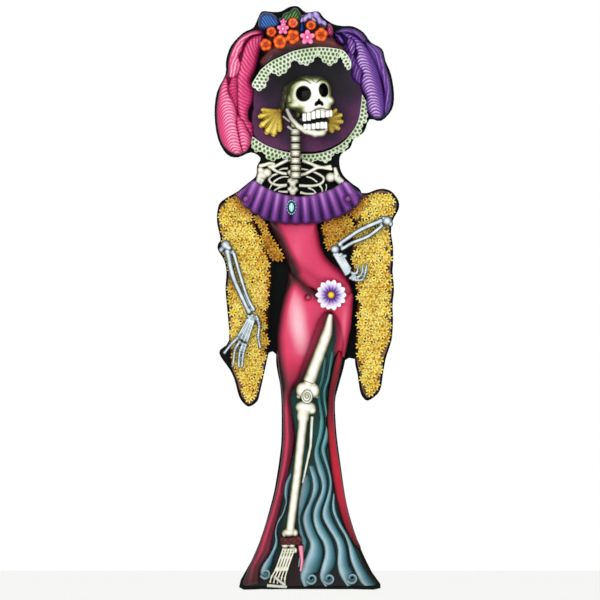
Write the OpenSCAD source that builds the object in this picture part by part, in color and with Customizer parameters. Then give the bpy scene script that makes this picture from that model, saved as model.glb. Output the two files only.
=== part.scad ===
// Jointed papier-mache catrina: a relief figure on black boards, hung on a wall.
// The figure is drawn lying flat: x to its right-hand side as seen, y upward, z from the wall
// forward. stand() then turns it upright with the hanger's mouth at the origin.

/* [Boards] */
// Thickness of the body's laminated board
board_t = 8; // [8:1:10]
// Thickness of the three boards that swing: two wings and the skirt
wing_t = 5; // [4:1:6]
// Space that the felt pads keep between the board and the wall
wall_gap = 4; // [4:1:6]
// Thickness of the washer between two boards
washer_t = 1; // [0.5:0.5:2]

/* [Relief] */
// Thickness of the boas where they pass under the collar
boa_low = 15; // [12:1:18]
// Thickness that the boas gain away from the collar
boa_rise = 12; // [6:1:14]
// Depth of the skull in front of the hat's brim
skull_deep = 86; // [76:1:92]
// Thickness of the underskirt's backing
backing_t = 3; // [2:1:4]
// Height of the underskirt's locks
lock_t = 8; // [5:1:9]

/* [Pins] */
// Radius of a joint pin's shaft
pin_r = 3; // [2.5:0.5:3.5]
// Radius of a joint pin's head
head_r = 5; // [4.5:0.5:6]
// Play around a pin in a board that turns on it
play = 0.1; // [0.05:0.05:0.2]

/* [Hanger] */
// Radius of the hanger's bore
hanger_r = 4.5; // [3:0.5:5]
// Length of the hanger's bush
hanger_len = 10; // [8:1:10]

/* [Hidden] */
$fn = 48;

// depths, measured forward from the wall
board_back = wall_gap;
board_front = board_back + board_t;
wing_back = board_front + washer_t;
wing_front = wing_back + wing_t;
boa_front = wing_front + boa_low;
collar_back = boa_front + 1;
collar_flat = collar_back + 4;
arm_back = boa_front + boa_rise + 0.2;
brim_front = board_front + 8;
crown_front = board_front + 38;
backing_front = wing_front + backing_t;
lock_front = backing_front + lock_t;
lip_back = 31;
tail_front = lip_back - 1;
nut_front = board_back - 0.8;

// places on the figure
hanger = [-10, 1060];
left_shoulder = [-132, 786];
right_shoulder = [72, 786];
hip = [-8, 589];
brim_centre = [-8, 985];
brim_rx = 111;
brim_ry = 106;
knee = [-10, 392];
flower_at = [38, 594];
brooch_at = [-41, 769];

// a smooth closed line through a few points
function knot(p, i) = p[(i + len(p)) % len(p)];
function between(a, b, c, d, t) =
  0.5 * (2 * b + (c - a) * t + (2 * a - 5 * b + 4 * c - d) * t * t
    + (3 * b - a - 3 * c + d) * t * t * t);
function smooth(p, n = 3) = [
  for (i = [0 : len(p) - 1], k = [0 : n - 1])
    between(knot(p, i - 1), knot(p, i), knot(p, i + 1), knot(p, i + 2), k / n)
];
function oval(rx, ry, n = 40) = [for (i = [0 : n - 1]) [rx * cos(360 * i / n), ry * sin(360 * i / n)]];

// turns the flat drawing upright, with the hanger's mouth at the origin
module stand() {
  translate([-hanger.x, 0, -hanger.y]) rotate([90, 0, 0]) children();
}

// a plate of a smooth outline, from one depth to another
module plate(points, back, front, inset = 0) {
  translate([0, 0, back]) linear_extrude(front - back)
    if (inset == 0) polygon(smooth(points));
    else offset(delta = -inset) polygon(smooth(points));
}

// a rounded relief in steps, each step smaller than the one behind it
module relief(points, back, front, step = 4, steps = 3) {
  rise = (front - back) / steps;
  for (i = [0 : steps - 1])
    plate(points, back + (i == 0 ? 0 : i * rise), back + (i + 1) * rise, i * step);
}

module disc(at, r, back, front) {
  translate([at.x, at.y, back]) cylinder(r = r, h = front - back);
}

// one turned bone from a to b with knobs at its ends, its axis at a depth
module bone(a, b, r, knob, depth) {
  along = norm(b - a);
  translate([a.x, a.y, depth]) rotate([0, 0, atan2(b.y - a.y, b.x - a.x)]) rotate([0, 90, 0])
    rotate_extrude() polygon([
      [0, 0], [0.6 * knob, 0], [knob, 0.5 * knob], [knob, 0.9 * knob], [r, 1.6 * knob],
      [r, along - 1.6 * knob], [knob, along - 0.9 * knob], [knob, along - 0.5 * knob],
      [0.6 * knob, along], [0, along]
    ]);
}

// a chain of finger bones through a row of knuckles, with a gap at each knuckle
module finger(points, r, depth) {
  for (i = [0 : len(points) - 2]) {
    way = points[i + 1] - points[i];
    bone(points[i] + 0.04 * way, points[i + 1] - 0.04 * way, 0.7 * r, r, depth);
  }
}

// a pin whose head bears on the piece at a depth
module pin(at, under_head) {
  translate([at.x, at.y, 0.6]) cylinder(r = pin_r, h = under_head - 0.6 + 0.5);
  translate([at.x, at.y, under_head]) cylinder(r = head_r, h = 1.5);
  translate([at.x, at.y, under_head + 1.5]) cylinder(r1 = head_r, r2 = 0.5 * head_r, h = 2);
}

module bore(at, r) {
  translate([at.x, at.y, -1]) cylinder(r = r, h = 120);
}

/* ---------- boards and fixings ---------- */

body_outline = [
  [-109, 1145], [-100, 1161], [-80, 1160], [-62, 1161], [-45, 1170], [-28, 1171], [-12, 1159],
  [12, 1161], [24, 1148], [42, 1136], [60, 1132], [82, 1131], [103, 1119], [118, 1099],
  [140, 1086], [147, 1062], [158, 1035], [164, 997], [160, 965], [138, 942], [115, 945],
  [104, 920], [84, 906], [76, 888], [58, 875], [55, 855], [62, 834], [80, 817], [98, 802],
  [96, 775], [92, 740], [88, 700], [94, 660], [98, 600], [98, 540], [95, 490], [88, 468],
  [80, 467], [74, 468], [66, 464], [56, 468], [0, 472], [-62, 472], [-70, 474], [-79, 481],
  [-88, 478], [-98, 486], [-102, 540], [-100, 600], [-98, 650], [-100, 700], [-118, 735],
  [-146, 765], [-156, 788], [-148, 801], [-128, 818], [-112, 832], [-110, 852], [-103, 868],
  [-122, 879], [-148, 869], [-170, 875], [-188, 906], [-195, 955], [-190, 1000], [-173, 1035],
  [-172, 1062], [-162, 1092], [-138, 1118], [-118, 1128]
];

module body_board() {
  color("#151314") stand() difference() {
    plate(body_outline, board_back, board_front);
    for (at = [left_shoulder, right_shoulder, hip]) bore(at, pin_r + 0.05);
    disc(hanger, 8.05, -1, hanger_len);
  }
}

module hanger_bush() {
  color("#b08d3c") stand() difference() {
    disc(hanger, 8, 0, hanger_len);
    disc(hanger, hanger_r, -1, hanger_len + 1);
  }
}

module felt_pads() {
  color("#3a3a3c") stand()
    for (at = [[-120, 1075], [100, 1075], [-50, 500], [50, 500]]) disc(at, 10, 0, board_back);
}

module left_shoulder_pin() {
  color("#c9a24a") stand() pin(left_shoulder, collar_flat);
}

module right_shoulder_pin() {
  color("#c9a24a") stand() pin(right_shoulder, collar_flat);
}

module hip_pin() {
  color("#c9a24a") stand() pin(hip, 40.3);
}

module board_washers() {
  color("#9a9a9a") stand()
    for (at = [left_shoulder, right_shoulder, hip]) difference() {
      disc(at, 9, board_front, wing_back);
      bore(at, pin_r + 0.05);
    }
}

module pin_nuts() {
  color("#9a9a9a") stand()
    for (at = [left_shoulder, right_shoulder, hip]) difference() {
      union() {
        disc(at, 8, nut_front, board_back);
        translate([at.x, at.y, 0.8]) cylinder(r = 6, h = nut_front - 0.8, $fn = 6);
      }
      bore(at, pin_r + 0.05);
    }
}

/* ---------- hat ---------- */

// the brim's own outline, a little larger for what stands around it
module brim_shape(grow = 0) {
  translate(brim_centre) polygon(oval(brim_rx + grow, brim_ry + grow));
}

// it reaches further out at the lower left, down to the lace
module hat_brim() {
  color("#35183f") stand() union() {
    translate([0, 0, board_front]) linear_extrude(brim_front - board_front) brim_shape();
    plate([
      [-112, 940], [-116, 914], [-96, 896], [-70, 886], [-40, 880], [-8, 881], [-40, 930], [-90, 960]
    ], board_front, brim_front);
  }
}

crown_outline = [
  [-104, 1060], [-90, 1078], [-90, 1100], [-88, 1134], [-64, 1148], [-36, 1155], [0, 1150],
  [24, 1134], [42, 1112], [50, 1090], [62, 1087], [68, 1074], [66, 1060], [40, 1072],
  [12, 1070], [-20, 1073], [-60, 1058], [-90, 1042]
];

module hat_crown() {
  color("#5c2430") stand() difference() {
    relief(crown_outline, board_front, crown_front, 3, 2);
    translate([0, 0, board_front - 1]) linear_extrude(brim_front - board_front + 1)
      brim_shape(0.2);
  }
}

module upper_lace() {
  color("#dcefc0") stand() plate([
    [-118, 1020], [-102, 1045], [-82, 1061], [-60, 1071], [-40, 1080], [-10, 1087],
    [20, 1089], [42, 1087], [62, 1082], [84, 1062], [74, 1046], [58, 1070], [36, 1053],
    [12, 1071], [-13, 1053], [-38, 1064], [-65, 1034], [-84, 1040], [-104, 1003]
  ], crown_front, crown_front + 3);
}

module lower_lace() {
  scallops = [for (i = [0 : 18]) let (a = 196 + 8.9 * i, out = 120 + (i % 2 == 0 ? -4 : 3))
    [out * cos(a), 0.94 * out * sin(a) + 1]];
  inner = [for (i = [0 : 18]) let (a = 356 - 8.9 * i) [101 * cos(a), 99 * sin(a) - 2]];
  color("#dcefc0") stand()
    translate([brim_centre.x, brim_centre.y, brim_front]) linear_extrude(3)
      polygon(concat(scallops, inner));
}

// a feather curls around its side of the hat, in front of the brim's edge
module feather(outline) {
  difference() {
    relief(outline, board_front, brim_front + 22, 6, 3);
    translate([0, 0, board_front - 1]) linear_extrude(brim_front - board_front + 4.2)
      brim_shape(14);
  }
}

module pink_feather() {
  color("#e0468c") stand() feather([
    [-100, 1122], [-118, 1122], [-138, 1112], [-156, 1092], [-166, 1064], [-167, 1036],
    [-184, 1002], [-189, 960], [-183, 908], [-166, 880], [-150, 874], [-126, 884],
    [-121, 908], [-126, 944], [-126, 964], [-118, 1000], [-122, 1024], [-112, 1045],
    [-103, 1085], [-96, 1105]
  ]);
}

module purple_feather() {
  color("#6a3fa0") stand() feather([
    [47, 1118], [60, 1127], [82, 1125], [100, 1115], [112, 1094], [135, 1083], [141, 1060],
    [152, 1035], [158, 1000], [154, 968], [138, 948], [122, 948], [111, 962], [106, 990],
    [98, 1010], [86, 1020], [80, 1042], [73, 1075], [66, 1094], [50, 1097]
  ]);
}

module hat_leaves() {
  leaves = [
    [[-106, 1130], [-104, 1152], [-86, 1158], [-66, 1150], [-76, 1136], [-94, 1134]],
    [[-58, 1142], [-52, 1160], [-38, 1167], [-26, 1164], [-24, 1152], [-38, 1152]],
    [[30, 1114], [34, 1132], [44, 1128], [43, 1112]]
  ];
  color("#2f7f4a") stand() for (leaf = leaves) plate(leaf, crown_front, crown_front + 5);
}

module hat_petals() {
  color("#8f7fc4") stand()
    for (at = [[-14, 1152], [0, 1156], [14, 1150]]) disc(at, 6.8, crown_front, crown_front + 9);
}

module hat_tulips() {
  cups = [[-92, 1094, 12], [-82, 1119, 12], [-64, 1098, 14], [-38, 1109, 12], [18, 1112, 12]];
  color("#ef7a30") stand()
    for (c = cups) translate([c.x, c.y, crown_front]) cylinder(r1 = 0.7 * c.z, r2 = c.z, h = 18);
}

module hat_rose() {
  color("#e8452c") stand() {
    disc([-38, 1136], 11, crown_front, crown_front + 10);
    disc([-38, 1136], 7, crown_front + 10, crown_front + 16);
  }
}

module hat_pink_flowers() {
  heads = [[-59, 1126, 10], [-10, 1106, 14], [-4, 1132, 10]];
  color("#f06a9a") stand()
    for (h = heads) {
      disc([h.x, h.y], h.z, crown_front, crown_front + 10);
      disc([h.x, h.y], 0.35 * h.z, crown_front + 10, crown_front + 13);
    }
}

/* ---------- skull, jewels and chest ---------- */

skull_outline = [
  [-52, 990], [-49, 1008], [-36, 1024], [-12, 1032], [14, 1029], [34, 1015], [38, 1000],
  [46, 984], [45, 970], [39, 964], [20, 956], [0, 951], [-20, 951], [-24, 963], [-42, 963],
  [-51, 973]
];

module skull_cranium() {
  color("#f1efdf") stand() difference() {
    intersection() {
      plate(skull_outline, brim_front, brim_front + skull_deep);
      translate([-6, 988, brim_front + skull_deep - 66]) sphere(r = 66);
    }
    disc([-17, 995], 14, brim_front + 40, 140);
    disc([23, 1002], 9, brim_front + 40, 140);
    disc([14, 976], 5, brim_front + 50, 140);
  }
}

module jaw() {
  color("#f1efdf") stand() plate([
    [-50, 958], [-44, 938], [-31, 923], [-15, 913], [0, 908], [12, 907], [22, 911], [30, 920],
    [27, 923], [14, 921], [-2, 922], [-19, 925], [-34, 941], [-42, 961]
  ], 60, 92);
}

module teeth(xs, low, high, slope, back) {
  for (x = xs) translate([x, (low + high) / 2 + slope * (x - 10), back]) linear_extrude(16)
    polygon(oval(3.5, (high - low) / 2, 16));
}

module upper_teeth() {
  color("#fbf9ec") stand() teeth([-15, -6, 3, 12, 21, 30, 38], 942, 952.4, 0.18, 78);
}

module lower_teeth() {
  color("#fbf9ec") stand() teeth([-14, -6, 2, 10, 18, 26], 926, 937, 0.03, 76);
}

module earring(at, wide, high) {
  plate([
    [at.x, at.y + high], [at.x - 0.62 * wide, at.y + 0.85 * high], [at.x - wide, at.y + 0.3 * high],
    [at.x - 0.8 * wide, at.y], [at.x, at.y - 0.05 * high], [at.x + 0.3 * wide, at.y + 0.4 * high]
  ], brim_front + 3, brim_front + 13);
}

module left_earring() {
  color("#e0b64a") stand() earring([-72, 918], 30, 46);
}

module right_earring() {
  color("#e0b64a") stand() earring([45, 922], 24, 38);
}

module neck_vertebrae() {
  color("#f1efdf") stand()
    for (i = [0 : 7]) translate([-33, 941 - 14.4 * i, 36]) rotate([90, 0, 0])
      rotate_extrude() polygon([[0, 0], [11, 0], [8.5, 4], [8.5, 9], [11, 13], [0, 13]]);
}

module clavicles() {
  color("#f1efdf") stand() {
    bone([-50, 866], [-84, 856], 5, 7, board_front + 7);
    bone([-52, 836], [-90, 840], 4, 6, board_front + 6);
    bone([-18, 864], [26, 854], 5, 7, board_front + 7);
    bone([-16, 836], [24, 838], 4, 6, board_front + 6);
  }
}

module shoulder_bones() {
  color("#f1efdf") stand() {
    bone([-100, 850], [-107, 818], 4.5, 7, board_front + 7);
    bone([38, 848], [54, 822], 4.5, 7, board_front + 7);
  }
}

// one rib as an arc in the plane of the board
module rib(at, r, from, sweep) {
  translate([at.x, at.y, board_front + 4]) rotate([0, 0, from])
    rotate_extrude(angle = sweep) translate([r, 0]) circle(r = 3.9);
}

module ribs() {
  color("#f1efdf") stand() {
    rib([-67, 794], 28, 58, 74);
    rib([-67, 776], 26, 55, 80);
    rib([-4, 797], 28, 48, 76);
    rib([-4, 779], 26, 45, 80);
  }
}

module sternum() {
  color("#f1efdf") stand()
    for (y = [840, 824, 808]) plate([
      [-47, y + 2], [-42, y + 7], [-36, y + 5], [-30, y + 7], [-25, y + 2], [-30, y - 6],
      [-36, y - 7.5], [-42, y - 6]
    ], board_front, 24);
}

/* ---------- collar, brooch and bodice ---------- */

collar_outline = [
  [-150, 797], [-117, 823], [-99, 812], [-80, 803], [-60, 796], [-40, 792], [-20, 791],
  [0, 794], [20, 800], [40, 806], [67, 821], [102, 795], [93, 779], [84, 768], [62, 753],
  [46, 749], [34, 741], [20, 738], [8, 741], [-6, 737], [-20, 740], [-36, 736], [-50, 740],
  [-64, 738], [-78, 743], [-92, 743], [-102, 751], [-116, 758], [-134, 771], [-147, 786]
];
fold_axis = [-30, 990];
fold_count = 13;

module collar() {
  color("#7a3a8c") stand() difference() {
    union() {
      plate(collar_outline, collar_back, collar_flat);
      collar_folds();
    }
    for (at = [left_shoulder, right_shoulder]) {
      bore(at, pin_r + 0.05);
      disc(at, head_r + 1.5, collar_flat, 90);
    }
  }
}

// the raised folds, fanned out from behind the skull
module collar_folds() {
    intersection() {
      plate(collar_outline, collar_flat, 60, 2);
      for (i = [0 : fold_count - 1]) {
        turn = -26 + 52 * i / (fold_count - 1);
        translate([fold_axis.x, fold_axis.y, collar_flat]) rotate([0, 0, turn - 90])
          translate([182, 0, 0]) rotate([0, 90, 0]) cylinder(r1 = 6, r2 = 15, h = 76, $fn = 32);
      }
    }
}

module brooch_setting() {
  color("#3c4a5a") stand() difference() {
    translate([brooch_at.x, brooch_at.y, 50.2]) linear_extrude(6) polygon(oval(7, 10, 32));
    translate([brooch_at.x, brooch_at.y, 52.2]) linear_extrude(9) polygon(oval(5.4, 8.2, 32));
  }
}

module brooch_stone() {
  color("#6fc7cf") stand() translate([brooch_at.x, brooch_at.y, 52.2]) linear_extrude(7)
    polygon(oval(5.2, 8, 32));
}

bodice_outline = [
  [-96, 776], [-89, 738], [-80, 720], [-70, 700], [-60, 678], [-52, 660], [-44, 640],
  [-48, 626], [-30, 612], [-18, 606], [-8, 606], [3, 603], [12, 594], [30, 581], [60, 581],
  [79, 586], [80, 600], [76, 617], [69, 632], [59, 643], [44, 655], [29, 670], [19, 690],
  [14, 715], [12, 738], [26, 776], [-30, 786]
];
bodice_upper = [
  [-92, 776], [-85, 738], [-76, 720], [-66, 700], [-56, 678], [-48, 664], [-38, 655],
  [-20, 640], [-6, 628], [10, 616], [30, 608], [60, 608], [68, 616], [62, 632], [52, 643],
  [38, 654], [25, 668], [15, 690], [10, 715], [8, 738], [20, 776], [-30, 784]
];
bodice_front = [
  [-76, 728], [-60, 700], [-48, 676], [-30, 660], [-8, 640], [14, 628], [40, 620], [54, 626],
  [44, 640], [28, 654], [14, 668], [6, 690], [2, 716], [-4, 728], [-36, 729]
];

module bodice() {
  color("#e23a68") stand() {
    plate(bodice_outline, board_front, tail_front);
    plate(bodice_upper, tail_front, collar_back);
    relief(bodice_front, collar_back, 43, 5, 2);
  }
}

/* ---------- left wing: board, boa and arm ---------- */

left_board_outline = [
  [-152, 799], [-134, 808], [-116, 801], [-107, 782], [-99, 762], [-96, 742], [-88, 722],
  [-79, 702], [-69, 681], [-65, 664], [-76, 655], [-79, 620], [-83, 575], [-85, 520],
  [-84, 490], [-89, 468], [-95, 440], [-105, 395], [-110, 381], [-125, 371], [-136, 377],
  [-146, 392], [-155, 425], [-165, 446], [-182, 470], [-184, 484], [-166, 503], [-169, 560],
  [-173, 605], [-171, 640], [-176, 664], [-188, 684], [-188, 696], [-183, 706], [-190, 740],
  [-188, 768], [-180, 782]
];

module left_wing_board() {
  color("#151314") stand() difference() {
    plate(left_board_outline, wing_back, wing_front);
    bore(left_shoulder, pin_r + play);
  }
}

left_boa_outline = [
  [-154, 794], [-134, 804], [-118, 796], [-113, 776], [-117, 746], [-102, 706], [-86, 664],
  [-82, 620], [-86, 575], [-88, 520], [-87, 496], [-92, 470], [-98, 440], [-108, 398],
  [-114, 384], [-125, 376], [-133, 382], [-142, 396], [-151, 427], [-160, 450], [-163, 500],
  [-165, 560], [-169, 605], [-167, 640], [-172, 666], [-183, 686], [-179, 706], [-186, 740],
  [-184, 766], [-176, 778]
];

module left_boa() {
  color("#e3b843") stand() difference() {
    union() {
      plate(left_boa_outline, wing_front, boa_front);
      plate(left_boa_outline, boa_front, boa_front + boa_rise, 7);
    }
    bore(left_shoulder, pin_r + play);
    disc(left_shoulder, 38, boa_front, 90);
  }
}

module left_boa_inner() {
  color("#c08a2c") stand() plate([
    [-110, 768], [-101, 764], [-98, 742], [-90, 722], [-81, 702], [-71, 682], [-68, 668],
    [-84, 667], [-100, 708], [-113, 744]
  ], wing_front, boa_front, 0.6);
}

module left_elbow() {
  color("#e6eaf2") stand() {
    disc([-171, 692], 9, arm_back, arm_back + 12);
    disc([-181, 679], 4.5, arm_back, arm_back + 8);
  }
}

module left_forearm() {
  color("#e6eaf2") stand() {
    bone([-168, 682], [-128, 560], 4.5, 7, arm_back + 7);
    bone([-156, 683], [-114, 562], 3.2, 4.5, arm_back + 5);
  }
}

module left_hand() {
  color("#e6eaf2") stand() {
    for (at = [[-127, 549], [-118, 550], [-109, 550], [-124, 541], [-113, 541]])
      disc(at, 4, arm_back, arm_back + 8);
    finger([[-127, 536], [-147, 512], [-162, 492], [-176, 476]], 3.4, arm_back + 4);
    finger([[-121, 533], [-135, 508], [-149, 484], [-158, 466], [-162, 452]], 3.4, arm_back + 4);
    finger([[-114, 531], [-124, 506], [-136, 480], [-146, 460], [-151, 448]], 3.4, arm_back + 4);
    finger([[-107, 534], [-113, 508], [-122, 482], [-133, 464], [-140, 452]], 3.2, arm_back + 4);
    finger([[-101, 542], [-102, 520], [-103, 500], [-102, 486]], 3.2, arm_back + 4);
  }
}

/* ---------- right wing: board, boa and arm ---------- */

right_board_outline = [
  [58, 804], [74, 809], [92, 800], [110, 798], [130, 805], [145, 806], [160, 800],
  [173, 782], [173, 765], [162, 744], [158, 720], [162, 690], [162, 655], [161, 640],
  [164, 605], [161, 575], [162, 545], [160, 510], [155, 490], [147, 465], [141, 430],
  [138, 410], [130, 395], [112, 383], [102, 389], [96, 402], [91, 435], [86, 458],
  [86, 490], [87, 530], [88, 560], [87, 602], [82, 622], [75, 637], [64, 648], [50, 660],
  [35, 675], [24, 692], [19, 714], [16, 734], [26, 746], [46, 766], [50, 786]
];

module right_wing_board() {
  color("#151314") stand() difference() {
    plate(right_board_outline, wing_back, wing_front);
    bore(right_shoulder, pin_r + play);
  }
}

module right_boa() {
  outline = [
    [88, 728], [104, 732], [124, 728], [142, 728], [153, 732], [154, 712], [158, 684],
    [158, 655], [157, 640], [160, 605], [157, 575], [158, 545], [156, 512], [151, 490],
    [143, 467], [137, 432], [134, 412], [127, 399], [112, 389], [106, 394], [100, 406],
    [95, 437], [90, 460], [88, 490], [89, 530], [90, 560], [89, 604], [84, 624], [80, 650],
    [79, 690]
  ];
  color("#e3b843") stand() {
    plate(outline, wing_front, boa_front);
    plate(outline, boa_front, boa_front + boa_rise, 7);
  }
}

module right_boa_shoulder() {
  outline = [
    [58, 800], [74, 805], [94, 796], [112, 794], [130, 801], [144, 802], [157, 796],
    [168, 780], [168, 766], [158, 746], [142, 733], [122, 735], [104, 738], [86, 740],
    [70, 756], [54, 770], [52, 786]
  ];
  color("#e3b843") stand() difference() {
    union() {
      plate(outline, wing_front, boa_front);
      plate(outline, boa_front, boa_front + boa_rise, 7);
    }
    bore(right_shoulder, pin_r + play);
    disc(right_shoulder, 40, boa_front, 90);
  }
}

module right_boa_inner() {
  color("#c08a2c") stand() plate([
    [19, 732], [21, 715], [26, 694], [36, 681], [47, 688], [61, 700], [74, 712], [82, 726],
    [80, 738], [66, 752], [46, 752], [28, 744]
  ], wing_front, boa_front);
}

module right_elbow() {
  color("#e6eaf2") stand() disc([150, 741], 10, arm_back, arm_back + 12);
}

module right_forearm() {
  color("#e6eaf2") stand() {
    bone([138, 742], [56, 693], 4, 6, arm_back + 6);
    bone([140, 730], [62, 684], 3, 4.4, arm_back + 5);
  }
}

module right_hand() {
  color("#e6eaf2") stand() {
    disc([46, 684], 9, arm_back, arm_back + 11);
    for (at = [[58, 675], [66, 672]]) disc(at, 4, arm_back, arm_back + 8);
    finger([[50, 673], [60, 648], [76, 628]], 3.4, arm_back + 4);
    finger([[60, 669], [70, 650], [84, 630], [80, 652]], 3.2, arm_back + 4);
    finger([[69, 666], [78, 650], [94, 630], [91, 656]], 3.2, arm_back + 4);
    finger([[75, 668], [88, 656], [104, 634], [104, 662]], 3.2, arm_back + 4);
  }
}

/* ---------- skirt: board, dress, underskirt, leg, shoe and flower ---------- */

skirt_board_outline = [
  [78, 573], [60, 569], [32, 572], [16, 582], [7, 592], [-1, 600], [-8, 602], [-16, 600],
  [-24, 598], [-36, 604], [-50, 612], [-57, 590], [-64, 560], [-69, 530], [-70, 495],
  [-72, 465], [-69, 440], [-64, 415], [-61, 375], [-61, 310], [-64, 275], [-69, 240],
  [-76, 200], [-85, 165], [-95, 130], [-106, 98], [-121, 63], [-146, 10], [-100, 6], [-40, 6],
  [20, 6], [80, 6], [137, 8], [120, 40], [105, 70], [94, 96], [82, 130], [72, 165], [65, 200],
  [60, 235], [55, 270], [51, 300], [48, 330], [46, 380], [53, 412], [64, 452], [72, 498],
  [76, 530], [80, 560]
];

module skirt_board() {
  color("#151314") stand() difference() {
    plate(skirt_board_outline, wing_back, wing_front);
    bore(hip, pin_r + play);
  }
}

// the dress from the hip to the hem on the left, with the slit's edge beside the leg
dress_outline = [
  [77, 571], [60, 567], [33, 570], [16, 580], [6, 590], [-1, 598], [-8, 600], [-16, 598],
  [-24, 596], [-36, 602], [-48, 608], [-56, 588], [-62, 560], [-67, 530], [-69, 495],
  [-67, 450], [-63, 420], [-60, 390], [-57, 360], [-57, 310], [-60, 270], [-66, 235],
  [-74, 195], [-84, 158], [-98, 118], [-112, 82], [-125, 50], [-138, 20], [-122, 16],
  [-105, 20], [-105, 50], [-82, 80], [-77, 110], [-68, 140], [-56, 190], [-55, 215],
  [-45, 240], [-38, 270], [-33, 300], [-36, 340], [-42, 380], [-36, 412], [-26, 425],
  [-12, 470], [2, 510], [16, 545], [27, 560], [46, 552], [56, 530], [62, 500], [60, 470],
  [68, 480], [73, 510], [77, 540]
];
lip_outline = [
  [-44, 640], [-25, 624], [-8, 611], [8, 600], [30, 593], [60, 593], [80, 598], [80, 575],
  [60, 570], [32, 573], [16, 583], [6, 592], [-8, 600], [-16, 598], [-24, 596], [-36, 602],
  [-46, 612]
];
thigh_outline = [
  [-40, 628], [-22, 612], [-6, 600], [10, 590], [32, 585], [60, 586], [76, 588], [74, 560],
  [70, 530], [66, 505], [58, 520], [48, 547], [28, 557], [10, 534], [-4, 498], [-16, 462],
  [-30, 427], [-44, 400], [-56, 410], [-62, 450], [-64, 495], [-62, 530], [-57, 560],
  [-50, 590]
];

module skirt_dress() {
  color("#e23a68") stand() difference() {
    union() {
      plate(dress_outline, backing_front, lip_back);
      intersection() {
        plate(dress_outline, wing_front, backing_front + 1);
        translate([-100, 568, wing_front]) cube([200, 80, 10]);
      }
      plate(lip_outline, lip_back, 36);
      plate(thigh_outline, lip_back, 44);
      plate(thigh_outline, 44, 52, 9);
      plate([[-58, 400], [-44, 396], [-40, 330], [-42, 280], [-52, 230], [-62, 190], [-78, 140],
        [-90, 108], [-118, 40], [-128, 28], [-112, 74], [-94, 122], [-72, 190], [-62, 240],
        [-56, 300], [-54, 360]], lip_back, 35);
    }
    bore(hip, pin_r + play);
    disc(hip, head_r + 1.5, 40, 90);
  }
}

module side_panel() {
  color("#b81f4a") stand() plate([
    [52, 450], [46, 430], [40, 400], [39, 360], [41, 320], [46, 280], [52, 245], [58, 210],
    [65, 175], [72, 145], [84, 115], [98, 86], [86, 92], [74, 112], [64, 132], [56, 158],
    [48, 188], [42, 215], [38, 245], [34, 280], [31, 310], [28, 350], [31, 400], [36, 440],
    [42, 462], [50, 472]
  ], backing_front, 30);
}

module underskirt() {
  color("#1f5d60") stand() plate([
    [56, 562], [20, 560], [-58, 558], [-63, 530], [-65, 495], [-66, 450], [-60, 400],
    [-55, 360], [-55, 310], [-58, 270], [-64, 235], [-72, 195], [-82, 158], [-96, 118],
    [-110, 82], [-123, 50], [-138, 14], [-80, 12], [0, 12], [70, 12], [128, 14], [114, 40],
    [99, 70], [88, 98], [76, 132], [66, 168], [59, 202], [54, 235], [49, 270], [45, 300],
    [42, 330], [40, 380], [47, 415], [58, 455], [66, 500], [70, 530], [72, 558]
  ], wing_front, backing_front);
}

// a wavy lock of the underskirt: a ribbon of a given half width along a line of points
function ribbon(p, w) = concat(
  [for (i = [0 : len(p) - 1]) p[i] + [w, 0]],
  [for (i = [len(p) - 1 : -1 : 0]) p[i] - [w, 0]]
);
module lock(p, w) {
  plate(ribbon(p, w), backing_front, lock_front);
}

module underskirt_locks() {
  color("#5f9aa4") stand() {
    lock([[48, 505], [38, 480], [27, 440], [17, 400], [19, 350], [14, 300], [6, 260],
      [16, 215], [10, 175], [8, 130], [20, 85], [16, 50], [20, 18]], 6);
    lock([[-8, 250], [-2, 215], [-8, 180], [-16, 150], [-14, 118], [-8, 88], [-12, 55],
      [-20, 18]], 6);
    lock([[33, 200], [28, 165], [34, 128], [48, 92], [46, 55], [54, 18]], 6);
    lock([[62, 115], [72, 82], [82, 52], [100, 18]], 6);
    lock([[-64, 132], [-70, 102], [-78, 74], [-90, 46], [-96, 18]], 5);
  }
}

module femur() {
  color("#f1efdf") stand() {
    bone([36, 552], [-6, 424], 9, 10, lock_front + 10.2);
    for (x = [-20, 4]) translate([x, 405, lock_front + 12]) sphere(r = 11.6);
  }
}

module kneecap() {
  color("#f1efdf") stand() {
    disc(knee - [0, 3], 12, lock_front + 23.8, lock_front + 28);
    disc(knee - [0, 3], 6, lock_front + 28, lock_front + 30);
  }
}

module shin_bones() {
  color("#f1efdf") stand() {
    bone([-14, 378], [-46, 122], 7, 12, lock_front + 12.2);
    bone([5, 352], [-20, 122], 3.5, 5, lock_front + 6);
  }
}

module foot_bones() {
  color("#f1efdf") stand() {
    disc([-50, 92], 7, lock_front, lock_front + 12);
    disc([-38, 93], 5.4, lock_front, lock_front + 11);
    for (i = [0 : 4]) {
      finger([[-57 + 6.6 * i, 84], [-73 + 6 * i, 46 - i], [-80 + 6.4 * i, 30 - i],
        [-83 + 6.8 * i, 19 - i]], 2.8, lock_front + 4);
    }
  }
}

module shoe() {
  color("#c22540") stand() {
    plate([[-66, 112], [-58, 118], [-40, 116], [-18, 112], [-16, 104], [-38, 103], [-60, 103]],
      lock_front, lock_front + 26, 0.6);
    plate([[-30, 100], [-17, 99], [-14, 60], [-20, 40], [-27, 60]], lock_front, lock_front + 10);
    plate([[-94, 14], [-90, 15], [-70, 12], [-50, 10.5], [-48, 8], [-70, 8.5], [-90, 10]],
      lock_front, lock_front + 12);
  }
}

module hip_flower() {
  petals = 16;
  color("#efe6fa") stand() {
    disc(flower_at, 9, 36, 57.5);
    for (i = [0 : petals - 1])
      translate([flower_at.x, flower_at.y, 53 + i % 2]) rotate([0, 0, 360 * i / petals])
        linear_extrude(2.6)
          polygon([[4, -1], [12, -3.2], [22, -5], [28, -3.6], [30, 0], [28, 3.6], [22, 5],
            [12, 3.2], [4, 1]]);
  }
}

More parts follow.
